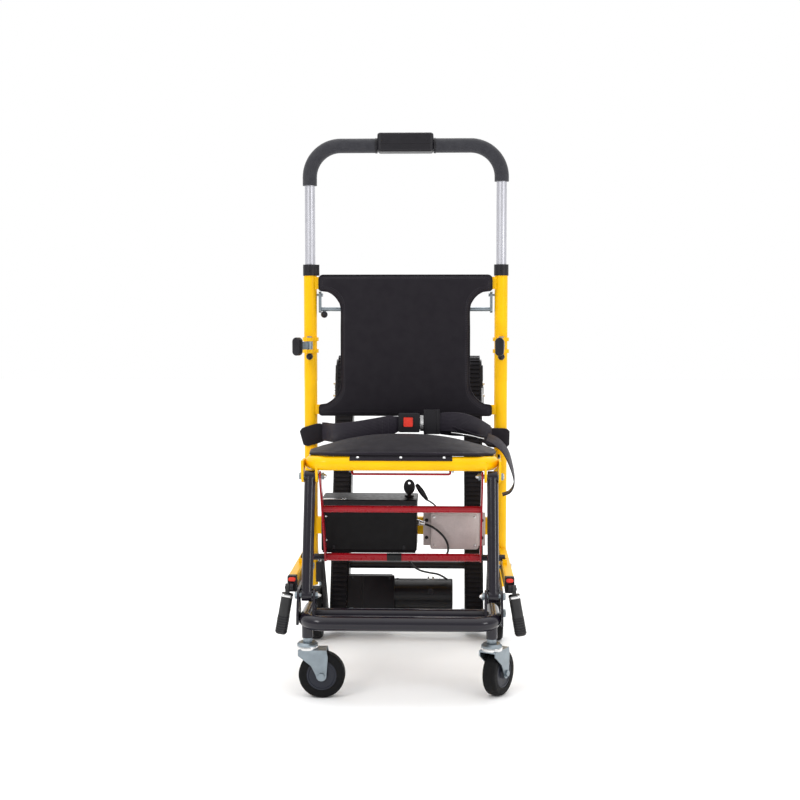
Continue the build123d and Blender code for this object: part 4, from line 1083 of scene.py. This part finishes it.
# ---- cables
def make_cables():
    """The controller, brake and charging cables on the frame, with their plug, pin and gland."""
    y = middle_of("uprights").y
    controller = [
        (0.033, y - 0.16, 0.334), (0.058, y - 0.168, 0.331), (0.084, y - 0.172, 0.315),
        (0.103, y - 0.17, 0.292), (0.107, y - 0.162, 0.266), (0.097, y - 0.138, 0.247),
        (0.074, y - 0.098, 0.236), (0.042, y - 0.046, 0.229), (0.014, y + 0.008, 0.224),
        (0.000, y + 0.056, 0.214),
    ]
    brake = [
        (-0.221, y + 0.0133, 0.7279), (-0.221, y + 0.0133, 0.6), (-0.221, y + 0.0133, 0.4),
        (-0.221, y + 0.0133, 0.236), (-0.219, y + 0.021, 0.212), (-0.2148, y + 0.036, 0.196),
        (-0.2148, y + 0.042, 0.186),
    ]
    charge = [
        (0.078, y - 0.131, 0.3542), (0.078, y - 0.132, 0.366), (0.069, y - 0.136, 0.376),
        (0.056, y - 0.14, 0.384),
    ]
    runs = (("controller_cable", controller, 0.0026), ("brake_cable", brake, 0.002),
            ("charge_lead", charge, 0.002))
    for name, points, radius in runs:
        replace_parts(mount(cable(name, points, radius), "frame", "cable_jacket"), "cables")
    start = Vector(charge[-1])
    route = Vector((0.03, y - 0.148, 0.423)) - start
    reach = route.length
    profile = [(0, 0.0026), (0.002, 0.0034)]
    for number in range(4):
        along, radius = 0.003 + 0.003 * number, 0.0036 + 0.0004 * number
        profile += [(along, radius), (along + 0.0015, radius + 0.0008)]
    profile += [(0.016, 0.006), (reach * 0.55, 0.0066), (reach - 0.006, 0.0052)]
    profile += [(reach - 0.001, 0.0036), (reach, 0)]
    mount(lathe("charge_plug", start, route, profile, 28), "frame", "black_plastic")
    profile = [(0, 0.004), (0.001, 0.005), (0.038, 0.005), (0.041, 0.0042), (0.048, 0.0036)]
    pin = lathe("brake_pin", (-0.2148, y + 0.042, 0.138), (0, 0, 1), profile, 28)
    mount(pin, "frame", "bright_steel")
    profile = [(-0.001, 0.007), (0.006, 0.007), (0.007, 0.0056), (0.018, 0.0046), (0.02, 0.0026)]
    gland = lathe("controller_gland", (0.0325, y - 0.16, 0.334), (0.96, -0.26, -0.1), profile, 28)
    mount(gland, "frame", "screw_steel")


def make_motor_lead():
    """The motor's lead, a plain mesh laid in its rest pose."""
    y = middle_of("uprights").y
    route = [
        (0.001, y + 0.0585, 0.211), (0.009, y + 0.082, 0.188), (0.03, y + 0.093, 0.168),
        (0.058, y + 0.095, 0.161), (0.086, y + 0.097, 0.157), (0.104, y + 0.104, 0.1425),
    ]
    lead = as_mesh(cable("motor_cable", route, 0.0026))
    lead.data.materials.clear()
    lead.data.materials.append(finish["cable_jacket"])
    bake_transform(lead)
    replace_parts(lead, "motor_lead")


# ---- the whole chair
def dress_frame():
    """Gives every CAD node the finish of its slot, but for the nodes whose plastic looks different."""
    special = {"battery_box": "battery_shell"}
    for name in sides:
        special[f"carry_grip_{name}"] = "grip_rubber"
    for name, node in frame["nodes"].items():
        node.data.materials.clear()
        node.data.materials.append(finish[special.get(name, slots[name])])


make_camera()
make_studio()
finish = make_finishes()
dress_frame()
make_backrest()
make_seat()
make_side_bands()
make_belt()
make_buckle_detail()
make_cables()
make_motor_lead()
make_fasteners()
make_battery_detail()
make_controller_detail()
make_motor_detail()
make_gearbox_detail()
make_track_detail()
make_handle_detail()
make_side_handle_caps()
make_knobs()
make_wheel_detail()
make_grip_detail()
make_brace_label()
